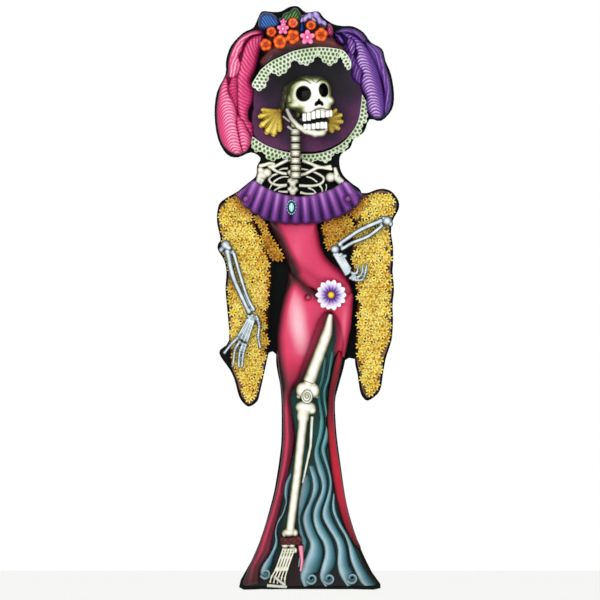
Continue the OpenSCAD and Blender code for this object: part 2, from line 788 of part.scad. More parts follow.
module hip_flower_centre() {
  color("#f0c030") stand() {
    disc(flower_at, 7, 57.5, 61);
    disc(flower_at, 4.5, 61, 63);
  }
}

body_board();
hanger_bush();
felt_pads();
left_shoulder_pin();
right_shoulder_pin();
hip_pin();
board_washers();
pin_nuts();
hat_brim();
hat_crown();
upper_lace();
lower_lace();
pink_feather();
purple_feather();
hat_leaves();
hat_petals();
hat_tulips();
hat_rose();
hat_pink_flowers();
skull_cranium();
jaw();
upper_teeth();
lower_teeth();
left_earring();
right_earring();
neck_vertebrae();
clavicles();
shoulder_bones();
ribs();
sternum();
collar();
brooch_setting();
brooch_stone();
bodice();
left_wing_board();
left_boa();
left_boa_inner();
left_elbow();
left_forearm();
left_hand();
right_wing_board();
right_boa();
right_boa_shoulder();
right_boa_inner();
right_elbow();
right_forearm();
right_hand();
skirt_board();
skirt_dress();
side_panel();
underskirt();
underskirt_locks();
femur();
kneecap();
shin_bones();
foot_bones();
shoe();
hip_flower();
hip_flower_centre();
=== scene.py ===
import math

import bpy
import numpy as np
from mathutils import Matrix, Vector


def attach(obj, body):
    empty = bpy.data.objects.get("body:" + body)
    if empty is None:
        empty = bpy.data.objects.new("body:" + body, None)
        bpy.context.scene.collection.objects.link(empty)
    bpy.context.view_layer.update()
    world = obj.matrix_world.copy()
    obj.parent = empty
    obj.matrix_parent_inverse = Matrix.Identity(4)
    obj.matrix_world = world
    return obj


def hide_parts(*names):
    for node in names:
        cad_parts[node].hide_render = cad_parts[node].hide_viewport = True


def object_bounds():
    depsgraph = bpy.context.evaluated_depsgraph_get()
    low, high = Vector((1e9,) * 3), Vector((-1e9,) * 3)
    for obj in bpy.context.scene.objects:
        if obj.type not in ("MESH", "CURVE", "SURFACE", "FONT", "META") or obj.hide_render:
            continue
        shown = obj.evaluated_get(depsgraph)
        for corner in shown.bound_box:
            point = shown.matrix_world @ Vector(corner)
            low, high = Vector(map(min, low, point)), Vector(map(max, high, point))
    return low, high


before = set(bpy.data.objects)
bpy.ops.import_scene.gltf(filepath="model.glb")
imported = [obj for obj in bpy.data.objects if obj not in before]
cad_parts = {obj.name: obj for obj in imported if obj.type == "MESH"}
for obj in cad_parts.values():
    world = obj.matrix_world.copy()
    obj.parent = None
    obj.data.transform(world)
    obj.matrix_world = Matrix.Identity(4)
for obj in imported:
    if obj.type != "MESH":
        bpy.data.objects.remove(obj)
cad_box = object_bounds()

# ---------------------------------------------------------------------------
# The figure hangs on a wall and is looked at from straight in front, from far off.
# Places are given in mm: x across, up from the figure's foot, out from the wall.
# The hanger's mouth is the frame's origin.
HANGER_X = -10
HANGER_UP = 1060
MM = 0.001
VIEW_FROM = 6.0
VIEW_X = -24
VIEW_UP = 584


def place(x, up, out):
    return Vector(((x - HANGER_X) * MM, -out * MM, (up - HANGER_UP) * MM))


# the view is almost without perspective, so the lens and the distance grow together
FURTHER = 4
camera = bpy.data.objects.new("camera", bpy.data.cameras.new("camera"))
camera.data.lens = 180 * FURTHER
camera.data.sensor_width = 36
camera.data.clip_end = 30 * FURTHER
camera.location = place(VIEW_X, VIEW_UP, 0) - Vector((0, VIEW_FROM * FURTHER, 0))
camera.rotation_euler = (math.pi / 2, 0, 0)
bpy.context.collection.objects.link(camera)
bpy.context.scene.camera = camera
bpy.context.scene.view_settings.view_transform = "Standard"

world = bpy.data.worlds.new("studio")
world.use_nodes = True
world.node_tree.nodes["Background"].inputs["Color"].default_value = (1, 1, 1, 1)
world.node_tree.nodes["Background"].inputs["Strength"].default_value = 1.0
bpy.context.scene.world = world


def soft_light(name, where, aim, size, watts):
    data = bpy.data.lights.new(name, "AREA")
    data.size = size
    data.energy = watts
    lamp = bpy.data.objects.new(name, data)
    lamp.location = where
    lamp.rotation_euler = (Vector(aim) - Vector(where)).to_track_quat("-Z", "Y").to_euler()
    bpy.context.collection.objects.link(lamp)


soft_light("key", (-1.6, -2.6, 1.2), (0, 0, -0.4), 0.8, 24)

# ---------------------------------------------------------------------------
# Plain pale studio floor, a hand's breadth below the figure.
FLOOR_DROP = 0.12


def deselect():
    if bpy.context.object and bpy.context.object.mode != "OBJECT":
        bpy.ops.object.mode_set(mode="OBJECT")
    bpy.ops.object.select_all(action="DESELECT")


def finish_mesh(name):
    """Gives the active object its name and puts its place into its mesh."""
    piece = bpy.context.object
    piece.name = name
    piece.data.name = name
    bpy.ops.object.transform_apply(location=True, rotation=True, scale=True)
    return piece


def joined(pieces, name):
    """Joins several objects into one."""
    deselect()
    for piece in pieces:
        piece.select_set(True)
    bpy.context.view_layer.objects.active = pieces[0]
    bpy.ops.object.join()
    return finish_mesh(name)


def linear(hex_colour):
    """An sRGB hex colour as linear red, green and blue."""
    value = np.array([int(hex_colour[i : i + 2], 16) / 255 for i in (1, 3, 5)])
    return np.where(value <= 0.04045, value / 12.92, ((value + 0.055) / 1.055) ** 2.4)


def rgba(hex_colour):
    return (*linear(hex_colour), 1.0)


def node(tree, kind, settings=None, inputs=None):
    """Adds a node, sets its properties, and sets or links its inputs."""
    new = tree.nodes.new(kind)
    for key, value in (settings or {}).items():
        setattr(new, key, value)
    for key, value in (inputs or {}).items():
        if isinstance(value, bpy.types.NodeSocket):
            tree.links.new(value, new.inputs[key])
        else:
            new.inputs[key].default_value = value
    return new


def blank_material(name):
    material = bpy.data.materials.new(name)
    material.use_nodes = True
    material.node_tree.nodes.clear()
    return material, material.node_tree


def object_places(tree):
    return node(tree, "ShaderNodeTexCoord").outputs["Object"]


def noise(tree, where, grain, **settings):
    """Cloudy variation whose grain is a size in metres."""
    inputs = {"Vector": where, "Scale": 1 / grain, **settings}
    return node(tree, "ShaderNodeTexNoise", {}, inputs).outputs["Fac"]


def spread(tree, value, low, high, value_from=0.0, value_to=1.0):
    """Stretches a value over a range."""
    inputs = {"Value": value, "From Min": value_from, "From Max": value_to, "To Min": low, "To Max": high}
    return node(tree, "ShaderNodeMapRange", {}, inputs).outputs["Result"]


def mixed(tree, share, first, second):
    """A mix of two hex colours."""
    inputs = {"Factor": share, 6: rgba(first), 7: rgba(second)}
    return node(tree, "ShaderNodeMix", {"data_type": "RGBA"}, inputs).outputs[2]


def bump(tree, height, strength, distance):
    inputs = {"Strength": strength, "Distance": distance, "Height": height}
    return node(tree, "ShaderNodeBump", {}, inputs).outputs["Normal"]


def surface(tree, inputs):
    """Ends a material in one shader."""
    shader = node(tree, "ShaderNodeBsdfPrincipled", {}, inputs)
    node(tree, "ShaderNodeOutputMaterial", {}, {"Surface": shader.outputs["BSDF"]})


def wear(piece, material):
    """Puts one material on every face of a piece."""
    piece.data.materials.clear()
    piece.data.materials.append(material)


deselect()
bpy.ops.mesh.primitive_plane_add(size=14, location=(0, 0, cad_box[0][2] - FLOOR_DROP))
floor = finish_mesh("floor")
floor_paint, tree = blank_material("matt_pale_floor_paint")
surface(tree, {"Base Color": rgba("#f4f4f2"), "Roughness": 0.9})
wear(floor, floor_paint)

# ---------------------------------------------------------------------------
# Boards: four laminated cardboard shapes cut to the figure's outline. Their faces and cut
# edges are brushed with matt black paint, and they carry everything else.


def black_board_paint():
    """Matt black paint: soft brush marks, and a dull sheen where the laminate shows through."""
    material, tree = blank_material("brushed_matt_black_paint_on_cardboard")
    where = object_places(tree)
    marks = noise(tree, where, 0.02, Detail=6.0)
    fibre = noise(tree, where, 0.0015)
    surface(tree, {
        "Base Color": mixed(tree, marks, "#060908", "#0f1413"),
        "Roughness": spread(tree, marks, 0.72, 0.9),
        "Specular IOR Level": 0.15,
        "Normal": bump(tree, fibre, 0.25, 0.0004),
    })
    return material


BOARD_BLACK = black_board_paint()
for board in ("body_board", "left_wing_board", "right_wing_board", "skirt_board"):
    wear(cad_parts[board], BOARD_BLACK)

# ---------------------------------------------------------------------------
# Pins, bush, washers and nuts: turned brass with a soft polish, and zinc-plated steel.
# Wool felt pads keep the back of the board off the wall.


def turned_metal(name, colour, roughness, grain):
    material, tree = blank_material(name)
    rubbed = noise(tree, object_places(tree), grain, Detail=4.0)
    rough = spread(tree, rubbed, roughness - 0.08, roughness + 0.12)
    surface(tree, {"Base Color": rgba(colour), "Metallic": 1.0, "Roughness": rough})
    return material


brass = turned_metal("polished_turned_brass", "#c9a24a", 0.28, 0.002)
zinc = turned_metal("zinc_plated_steel", "#a8abad", 0.38, 0.0015)
wear(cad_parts["hanger_bush"], brass)


def enamelled_pin(name, colour):
    """Brass pin whose domed head is enamelled to match what it holds."""
    material, tree = blank_material(name)
    chips = noise(tree, object_places(tree), 0.003)
    surface(tree, {"Base Color": mixed(tree, chips, colour, "#b07090"), "Roughness": 0.3})
    return material


violet_head = enamelled_pin("violet_enamel_on_brass_pin", "#64306e")
for name in ("left_shoulder_pin", "right_shoulder_pin"):
    wear(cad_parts[name], violet_head)
wear(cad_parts["hip_pin"], enamelled_pin("pink_enamel_on_brass_pin", "#b8344e"))
for name in ("board_washers", "pin_nuts"):
    wear(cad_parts[name], zinc)

felt, tree = blank_material("pressed_wool_felt")
tufts = noise(tree, object_places(tree), 0.0012, Detail=8.0)
surface(tree, {
    "Base Color": mixed(tree, tufts, "#2b2b2e", "#4a4a4e"),
    "Roughness": 0.95,
    "Sheen Weight": 0.4,
    "Normal": bump(tree, tufts, 0.6, 0.0006),
})
wear(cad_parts["felt_pads"], felt)

# ---------------------------------------------------------------------------
# Bodice and skirt: papier-mache built up over the boards and painted in one long hourglass,
# pink-red, with painted shade in dark maroon at the edges and a painted highlight in pale pink
# down the middle, under clear varnish.


def rounded(before, here, after, beyond, t):
    """A place between two points on a curve through four, t of the way along."""
    return 0.5 * (2 * here + (after - before) * t + (2 * before - 5 * here + 4 * after - beyond) * t**2
                  + (3 * here - before - 3 * after + beyond) * t**3)


def smooth(points, steps=4):
    """A closed line through a few points, with its corners rounded."""
    p = np.array(points, float)
    around = np.roll(p, 1, 0), p, np.roll(p, -1, 0), np.roll(p, -2, 0)
    return np.stack([rounded(*around, t) for t in np.arange(steps) / steps], 1).reshape(-1, 2)


def gap_to(line, spots, closed=True):
    """Distance in mm from each spot to a line."""
    ends = np.roll(line, -1, 0) if closed else line[1:]
    starts = line if closed else line[:-1]
    best = np.full(len(spots), 1e9)
    for a, b in zip(starts, ends):
        way = b - a
        t = np.clip(((spots - a) @ way) / max(way @ way, 1e-9), 0, 1)
        best = np.minimum(best, np.hypot(*(spots - a - t[:, None] * way).T))
    return best


def within(line, spots):
    """Whether each spot lies inside a closed line."""
    inside = np.zeros(len(spots), bool)
    x, y = spots[:, 0], spots[:, 1]
    for a, b in zip(line, np.roll(line, -1, 0)):
        crosses = (a[1] > y) != (b[1] > y)
        rise = b[1] - a[1] if abs(b[1] - a[1]) > 1e-9 else 1e-9
        inside ^= crosses & (x < (b[0] - a[0]) * (y - a[1]) / rise + a[0])
    return inside


def in_metres(places):
    """Places in mm as points in the frame."""
    return np.stack([places[:, 0] - HANGER_X, -places[:, 2], places[:, 1] - HANGER_UP], 1) * MM


def from_places(name, places, faces):
    """A mesh object from places in mm and faces."""
    mesh = bpy.data.meshes.new(name)
    mesh.from_pydata(in_metres(np.array(places, float)).tolist(), [], faces)
    mesh.update()
    piece = bpy.data.objects.new(name, mesh)
    bpy.context.collection.objects.link(piece)
    deselect()
    bpy.context.view_layer.objects.active = piece
    piece.select_set(True)
    return piece


def places_of(piece):
    """The piece's vertices in mm as x, up and out, and their normals."""
    co, normal = np.empty((2, len(piece.data.vertices) * 3))
    piece.data.vertices.foreach_get("co", co)
    piece.data.vertices.foreach_get("normal", normal)
    co, normal = co.reshape(-1, 3) / MM, normal.reshape(-1, 3)
    return np.stack([co[:, 0] + HANGER_X, co[:, 2] + HANGER_UP, -co[:, 1]], 1), normal


def move_to(piece, places):
    piece.data.vertices.foreach_set("co", in_metres(places).ravel())
    piece.data.update()


def face_outward():
    """Turns the active mesh's normals outward."""
    bpy.ops.object.mode_set(mode="EDIT")
    bpy.ops.mesh.select_all(action="SELECT")
    bpy.ops.mesh.normals_make_consistent(inside=False)
    bpy.ops.object.mode_set(mode="OBJECT")


def modify(piece, kind, **settings):
    """Adds a modifier to the active piece and applies it."""
    change = piece.modifiers.new(kind.lower(), kind)
    for key, value in settings.items():
        setattr(change, key, value)
    bpy.context.view_layer.objects.active = piece
    bpy.ops.object.modifier_apply(modifier=change.name)


def build_up(name, outline, back, front, edge=12, cell=2.5, low=0.3, shape=None, line=None):
    """Papier-mache laid up over an outline: thin at its edge and full in the middle.

    shape(places, gap) may give the front's depth instead of the plain rounded one.
    """
    line = smooth(outline) if line is None else line
    count = len(line)
    places = [(x, up, out) for out in (back, front) for x, up in line]
    walls = [(i, (i + 1) % count, count + (i + 1) % count, count + i) for i in range(count)]
    piece = from_places(name, places, [tuple(range(count))[::-1], tuple(range(count, 2 * count))] + walls)
    face_outward()
    modify(piece, "REMESH", mode="VOXEL", voxel_size=cell * MM, use_smooth_shade=True)
    modify(piece, "SMOOTH", factor=0.5, iterations=3)
    spots, _ = places_of(piece)
    gap = gap_to(line, spots[:, :2])
    t = np.clip(gap / edge, 0, 1)
    full = low + (1 - low) * np.sqrt(1 - (1 - t) ** 2)
    top = back + (front - back) * full if shape is None else shape(spots, gap)
    share = np.clip((spots[:, 2] - back) / (front - back), 0, 1)
    spots[:, 2] = back + share * (top - back)
    move_to(piece, spots)
    return piece


def paint(piece, colour_of):
    """Stores the brushed-on colour as an attribute that the varnished material reads."""
    spots, normal = places_of(piece)
    layer = piece.data.color_attributes.new("paint", "FLOAT_COLOR", "POINT")
    colour = np.ones((len(spots), 4))
    colour[:, :3] = np.clip(colour_of(spots, normal), 0, 1)
    layer.data.foreach_set("color", colour.ravel())


def fit(piece, body, node_name, material):
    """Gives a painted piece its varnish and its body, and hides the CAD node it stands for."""
    wear(piece, material)
    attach(piece, body)
    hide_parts(node_name)


def settle(piece, body, node_name, material, colour):
    """Paints a piece and fits it."""
    paint(piece, colour)
    fit(piece, body, node_name, material)


def blend_colours(t, *stops):
    """Colours along a ramp of (place, hex) stops."""
    spots = [s[0] for s in stops]
    colours = np.array([linear(s[1]) for s in stops])
    return np.stack([np.interp(t, spots, colours[:, i]) for i in range(3)], 1)


def painted_front_light(normal):
    """How squarely the surface faces out of the wall, from 0 to 1; the colours use it to paint shade where
    the surface turns away from the front.
    """
    return np.clip(-normal[:, 1], 0, 1)


def streaks(spots, size, seed=0.0):
    """Slow uneven variation, as a brush leaves it, from -1 to 1."""
    x, up = spots[:, 0] / size + seed, spots[:, 1] / size - seed
    return (
        np.sin(x * 2.1 + 1.7 * np.sin(up * 1.3)) + np.sin(up * 2.7 + 1.3 * np.sin(x * 1.9 + 2))
        + np.sin((x + up) * 1.3 + seed)
    ) / 3


def varnished_paint(name, brush_mm=3.0, unevenness=0.12, relief_mm=0.25, roughness=0.5, coat=0.15):
    """Acrylic paint brushed over papier-mache, then clear varnish.

    The eye sees slight brush-width changes of tone, a soft paper lumpiness and a wet gloss.
    """
    material, tree = blank_material(name)
    where = object_places(tree)
    colour = node(tree, "ShaderNodeAttribute", {"attribute_name": "paint"}).outputs["Color"]
    strokes = noise(tree, where, brush_mm * MM, Detail=5.0, Distortion=0.6)
    value = spread(tree, strokes, 1 - unevenness, 1 + unevenness, 0.3, 0.7)
    toned = node(tree, "ShaderNodeHueSaturation", {}, {"Color": colour, "Value": value})
    lumps = noise(tree, where, 6 * MM, Detail=6.0, Roughness=0.6)
    surface(tree, {
        "Base Color": toned.outputs["Color"],
        "Roughness": spread(tree, strokes, roughness - 0.1, roughness + 0.1),
        "Specular IOR Level": 0.2,
        "Coat Weight": coat,
        "Coat Roughness": 0.16,
        "Normal": bump(tree, lumps, 0.35, relief_mm * MM),
    })
    return material


DRESS_PAINT = varnished_paint("varnished_pink_paint_on_papier_mache", unevenness=0.05)
BODICE_LINE = smooth([
    [-96, 776], [-89, 738], [-80, 720], [-70, 700], [-60, 678], [-52, 660], [-44, 640],
    [-48, 626], [-30, 612], [-18, 606], [-8, 606], [3, 603], [12, 594], [30, 581], [60, 581],
    [79, 586], [80, 600], [76, 617], [69, 632], [59, 643], [44, 655], [29, 670], [19, 690],
    [14, 715], [12, 738], [26, 776], [-30, 786],
])
SEAM = np.array([[-46, 641], [-25, 624], [-8, 611], [8, 600], [30, 593], [60, 593], [82, 598]], float)
BODY_FRONT = 12
TAIL_OUT = 30
COLLAR_BACK = 34


def bodice_depth(spots, gap):
    """Full over the waist, flat under the collar, and low where the skirt laps over it."""
    t = np.clip(gap / 26, 0, 1)
    round_out = 16 + 28 * np.sqrt(1 - (1 - t) ** 2)
    seam_gap = gap_to(SEAM, spots[:, :2], closed=False)
    below = spots[:, 1] < np.interp(spots[:, 0], SEAM[:, 0], SEAM[:, 1])
    ease = np.where(below, 0, np.clip((seam_gap - 11) / 26, 0, 1))
    ease = ease * ease * (3 - 2 * ease)
    near_seam = (TAIL_OUT - 0.6) + 14 * ease
    under_collar = (COLLAR_BACK - 0.5) + 10 * np.clip((736 - spots[:, 1]) / 22, 0, 1)
    return np.minimum(np.minimum(round_out, near_seam), under_collar)


bodice = build_up("bodice_modelled", None, BODY_FRONT, 44, shape=bodice_depth, line=BODICE_LINE)


# the skirt's lower left panel, from the knee to the hem: its outer and inner edges at each height
PANEL_UP = [14, 50, 82, 118, 158, 195, 235, 270, 310, 360, 412]
PANEL_OUTER = [-138, -126, -112, -99, -85, -74, -66, -61, -58, -58, -62]
PANEL_INNER = [-105, -105, -84, -76, -66, -57, -47, -39, -34, -39, -38]
# the whole hourglass from collar to knee, used for the shading of both pieces
HOURGLASS = smooth([
    [-92, 790], [-88, 738], [-80, 720], [-70, 700], [-60, 678], [-52, 660], [-44, 638],
    [-50, 610], [-58, 585], [-64, 560], [-68, 535], [-70, 510], [-69, 480], [-66, 450],
    [-62, 420], [-60, 390], [-57, 350], [-58, 300], [-62, 260], [-74, 195], [-98, 118],
    [-138, 16], [-105, 20], [-105, 50], [-82, 80], [-77, 110], [-68, 140], [-56, 190],
    [-55, 215], [-45, 240], [-38, 270], [-33, 300], [-36, 340], [-42, 380], [-36, 404],
    [-20, 420], [0, 470], [20, 520], [34, 562], [42, 549], [48, 522], [45, 486], [38, 450],
    [34, 424], [50, 424], [60, 455], [70, 495], [78, 530], [82, 560], [83, 598], [77, 617],
    [69, 632], [59, 643], [44, 655],
    [29, 670], [19, 690], [14, 715], [12, 738], [20, 790],
])


def dress_colour(spots, normal):
    """Crimson-pink, with painted shade in maroon down the left side, along the edges and under the waist, and
    a painted highlight in pale pink over the thigh.
    """
    x, up = spots[:, 0], spots[:, 1]
    # painted shade: darker near the hourglass's outline
    edge = np.clip(gap_to(HOURGLASS, spots[:, :2]) / 11, 0, 1)
    # painted shade down the left side, wider over the bodice
    left = np.interp(up, [412, 450, 510, 560, 610, 640, 660, 700, 738, 790],
                     [-62, -66, -70, -64, -50, -44, -52, -70, -88, -92])
    torso = np.clip((up - 600) / 40, 0, 1)
    side = np.clip((x - left - 12 * torso) / (17 - 2 * torso), 0, 1)
    # painted shadow along the fold at the waist, where the skirt laps over the bodice
    fold = np.array([[-46.0, 650.0], [-39, 639], [-24, 619], [-5, 600], [14, 594]])
    waist = np.exp(-((gap_to(fold, spots[:, :2], closed=False) / 11) ** 2))
    # painted highlights: pale over the thigh, along the strip by the right hip, and over the chest
    thigh = np.exp(-(((x + 28 + 0.12 * (up - 540)) / 17) ** 2) - ((up - 538) / 62) ** 2)
    strip_highlight = np.exp(-(((x - 64 + 0.1 * (540 - up)) / 6) ** 2) - ((up - 535) / 46) ** 2)
    chest_highlight = np.exp(-(((x + 28) / 20) ** 2) - ((up - 700) / 60) ** 2)
    # painted shade just under the collar, and darker towards the knee
    under = np.clip((748 - up) / 16, 0.45, 1)
    low = np.clip((480 - up) / 70, 0, 1) * 0.27
    ground = (0.27 + 0.25 * edge) * (0.3 - 0.18 * torso + (0.7 + 0.18 * torso) * side)
    t = ground * (1 - 0.85 * waist) * under - low
    t += (0.36 * thigh + 0.12 * strip_highlight + 0.08 * chest_highlight) * edge * side + 0.015 * streaks(spots, 24)
    outer, inner = np.interp(up, PANEL_UP, PANEL_OUTER), np.interp(up, PANEL_UP, PANEL_INNER)
    u = (x - outer) / (inner - outer)
    # lower left panel: painted highlights along its folds, painted shade between them, at its edges and
    # towards the hem
    pleat = 0.16 + 0.30 * np.exp(-(((u - 0.36) / 0.13) ** 2)) + 0.12 * np.exp(-(((u - 0.78) / 0.10) ** 2))
    pleat *= np.clip(np.minimum(u, 1 - u) / 0.12, 0.3, 1)
    pleat *= np.interp(up, [14, 60, 110, 420], [0.25, 0.7, 0.95, 1.1])
    panel = np.clip((415 - up) / 50, 0, 1)
    return blend_colours(
        np.clip(t * (1 - panel) + pleat * panel, 0, 1),
        (0.0, "#1c080a"), (0.12, "#4e1c22"), (0.28, "#8e2440"), (0.45, "#cc2c54"), (0.58, "#dc466e"),
        (0.78, "#eda0b0"), (1.0, "#f8d4da"),
    )


settle(bodice, "root", "bodice", DRESS_PAINT, dress_colour)

DRESS_LINE = smooth([
    [-46, 640], [-25, 624], [-8, 611], [8, 600], [30, 593], [60, 593], [81, 598], [81, 570],
    [78, 532], [72, 502], [66, 474], [60, 470], [61, 498], [56, 530], [46, 552], [29, 560],
    [16, 546], [2, 511], [-12, 471], [-27, 428], [-37, 412], [-43, 380], [-37, 340], [-34, 300],
    [-39, 270], [-46, 240], [-56, 215], [-57, 190], [-69, 140], [-78, 110], [-83, 80],
    [-105, 50], [-106, 20], [-122, 15], [-138, 16], [-126, 50], [-112, 82], [-99, 118],
    [-85, 158], [-74, 195], [-66, 235], [-61, 270], [-58, 310], [-58, 360], [-60, 390],
    [-63, 420], [-67, 450], [-70, 495], [-68, 530], [-63, 560], [-57, 588], [-50, 612],
])
HIP = np.array([-8.0, 589.0])
PIN_WELL = 6.2
LIP_OUT = 31
LOW_BACK = 21.5


def skirt_depth(spots, gap):
    """Round over the thigh, a lip over the bodice's tail, and a well for the hip pin's head."""
    t = np.clip(gap / 30, 0, 1)
    thigh = 33 + 19 * np.sqrt(1 - (1 - t) ** 2)
    calf = np.clip((400 - spots[:, 1]) / 60, 0, 1)
    out = thigh * (1 - calf) + (26 + 11 * np.sqrt(np.clip(gap / 12, 0, 1))) * calf
    pin_gap = np.hypot(*(spots[:, :2] - HIP).T)
    well = 40 + 14 * np.clip((pin_gap - PIN_WELL) / 4, 0, 1) ** 0.5
    return np.minimum(out, well)


skirt_dress = build_up("skirt_dress_modelled", None, 18.5, 56, shape=skirt_depth, line=DRESS_LINE)
spots, _ = places_of(skirt_dress)
# the back is cut away over the bodice's tail, and again below it over the underskirt
LIP_FOOT = np.array([[-60, 604], [-36, 600], [-24, 594], [-16, 596], [-8, 598], [-1, 596], [6, 588],
                     [16, 578], [33, 568], [60, 565], [84, 569]], float)
UNDERSKIRT_TOP = 560
above = spots[:, 1] > np.maximum(np.interp(spots[:, 0], LIP_FOOT[:, 0], LIP_FOOT[:, 1]), UNDERSKIRT_TOP)
behind_lip = above & (spots[:, 2] < LIP_OUT + 0.4)
spots[behind_lip, 2] = LIP_OUT + 0.4
low_back = (spots[:, 1] < UNDERSKIRT_TOP) & (spots[:, 2] < LOW_BACK)
spots[low_back, 2] = LOW_BACK
move_to(skirt_dress, spots)
settle(skirt_dress, "skirt", "skirt_dress", DRESS_PAINT, dress_colour)

# ---------------------------------------------------------------------------
# Side panel of the skirt: the slit's far edge, a narrow crimson strip of papier-mache, with
# painted shade at the knee and again at the hem.
CRIMSON_PAINT = varnished_paint("varnished_crimson_paint_on_papier_mache", unevenness=0.06)
side_panel = build_up("side_panel_modelled", [
    [61, 470], [53, 430], [46, 400], [44, 360], [46, 320], [51, 280], [57, 245], [62, 210],
    [69, 175], [76, 145], [86, 115], [98, 88], [84, 94], [73, 113], [63, 134], [55, 158],
    [47, 188], [42, 215], [37, 245], [33, 280], [30, 310], [28, 350], [31, 400], [37, 440],
    [44, 468], [54, 484],
], 21.2, 32, edge=8, cell=1.8)


def side_panel_colour(spots, normal):
    up = spots[:, 1]
    left = np.interp(up, [90, 113, 134, 158, 188, 215, 245, 280, 350, 400, 480],
                     [86, 73, 63, 55, 47, 42, 37, 33, 28, 31, 50])
    right = np.interp(up, [90, 115, 145, 175, 210, 245, 280, 320, 400, 430, 480],
                      [98, 86, 76, 69, 62, 57, 51, 46, 46, 53, 63])
    u = np.clip((spots[:, 0] - left) / (right - left), 0, 1)
    # painted shade: dark at both edges of the strip, full crimson between
    colour = blend_colours(
        u, (0.0, "#0c0204"), (0.16, "#5a0816"), (0.34, "#a80a26"), (0.8, "#bc0e32"), (0.94, "#800a20"),
        (1.0, "#2a0409"),
    )
    # painted shade towards the knee and towards the hem
    shade = np.interp(up, [90, 125, 180, 250, 320, 365, 400, 440, 480],
                      [0.12, 0.5, 0.95, 1.1, 0.85, 0.35, 0.3, 0.55, 0.9])
    return colour * shade[:, None]


settle(side_panel, "skirt", "side_panel", CRIMSON_PAINT, side_panel_colour)

# ---------------------------------------------------------------------------
# Underskirt: a thin backing painted almost black-green, with long waving locks modelled on
# it. Each lock is a rounded roll of papier-mache with a painted highlight along its left side
# and painted shade along its right, and ends in a curl.
TEAL_PAINT = varnished_paint("varnished_teal_paint_on_papier_mache", unevenness=0.08)
SWINGING_FRONT = 18.2
BACKING_FRONT = 21
LOCK_FRONT = 29
SLIT_TOP = 404

underskirt = build_up("underskirt_modelled", [
    [56, 562], [20, 560], [-58, 558], [-63, 530], [-65, 495], [-66, 450], [-60, 400],
    [-55, 360], [-55, 310], [-58, 270], [-64, 235], [-72, 195], [-82, 158], [-96, 118],
    [-110, 82], [-123, 50], [-138, 14], [-80, 12], [0, 12], [70, 12], [128, 14], [114, 40],
    [99, 70], [88, 98], [76, 132], [66, 168], [59, 202], [54, 235], [49, 270], [45, 300],
    [42, 330], [40, 380], [47, 415], [58, 455], [66, 500], [70, 530], [72, 558],
], SWINGING_FRONT, BACKING_FRONT, edge=3, cell=1.8)


def backing_colour(spots, normal):
    """Green-teal, almost black at the hem, maroon-black behind the shoe, and dress cloth above."""
    x, up = spots[:, 0], spots[:, 1]
    t = np.clip((up - 10) / 260, 0, 1) * 0.75 + 0.16 * np.sin((x + 0.2 * up) / 5.0)
    green = blend_colours(
        np.clip(t, 0, 1), (0.0, "#030606"), (0.3, "#06201e"), (0.65, "#0a3c39"), (1.0, "#0f5a54"),
    )
    shoe_side = (np.exp(-(((x + 36) / 15) ** 4)) * (up < 112))[:, None]
    ground = green * (1 - shoe_side) + shoe_side * linear("#1e060a")
    # above the slit the dress's colours are painted on, with their painted shade and highlights
    cloth = (within(HOURGLASS, spots[:, :2]) & (up > SLIT_TOP))[:, None]
    return np.where(cloth, dress_colour(spots, normal), ground)


settle(underskirt, "skirt", "underskirt", TEAL_PAINT, backing_colour)


def open_line(points, steps=6):
    """An open line through a few points, with its corners rounded."""
    p = np.array(points, float)
    padded = np.vstack([2 * p[0] - p[1], p, 2 * p[-1] - p[-2]])
    ts = np.arange(steps) / steps
    line = [rounded(*padded[i : i + 4], t) for i in range(len(p) - 1) for t in ts]
    return np.array(line + [p[-1]])


def run_of(line):
    """How far along a line each of its points is."""
    return np.concatenate([[0], np.cumsum(np.hypot(*np.diff(line, axis=0).T))])


def even_line(points, count):
    """The same line with its points evenly spaced."""
    line = open_line(points)
    run = run_of(line)
    spots = np.linspace(0, run[-1], count)
    return np.stack([np.interp(spots, run, line[:, i]) for i in range(2)], 1)


def roll_between(left, right, back, high, rows=70, across=9):
    """Places, faces and across-fractions of a rounded roll between two edges."""
    a, b = even_line(left, rows), even_line(right, rows)
    places, share, faces = [], [], []
    for i in range(rows):
        taper = min(1.0, 4 * i / rows, 6 * (rows - 1 - i) / rows + 0.25)
        for k in range(across):
            u = k / (across - 1)
            x, up = a[i] + (b[i] - a[i]) * u
            places.append((x, up, back + high * taper * math.sin(math.pi * u) ** 0.6))
            share.append(u)
    for i in range(rows - 1):
        for k in range(across - 1):
            n = i * across + k
            faces.append((n, n + across, n + across + 1, n + 1))
    start = len(places)
    for i in range(rows):
        for k in (0, across - 1):
            x, up, _ = places[i * across + k]
            places.append((x, up, back - 0.3))
            share.append(k / (across - 1))
    for i in range(rows - 1):
        n = start + 2 * i
        faces.append((i * across, n, n + 2, (i + 1) * across))
        faces.append(((i + 1) * across - 1, (i + 2) * across - 1, n + 3, n + 1))
        faces.append((n, n + 1, n + 3, n + 2))
    faces.append(tuple(range(across)) + (start + 1, start))
    end = (rows - 1) * across
    faces.append(tuple(range(end + across - 1, end - 1, -1)) + (start + 2 * rows - 2, start + 2 * rows - 1))
    return places, faces, share


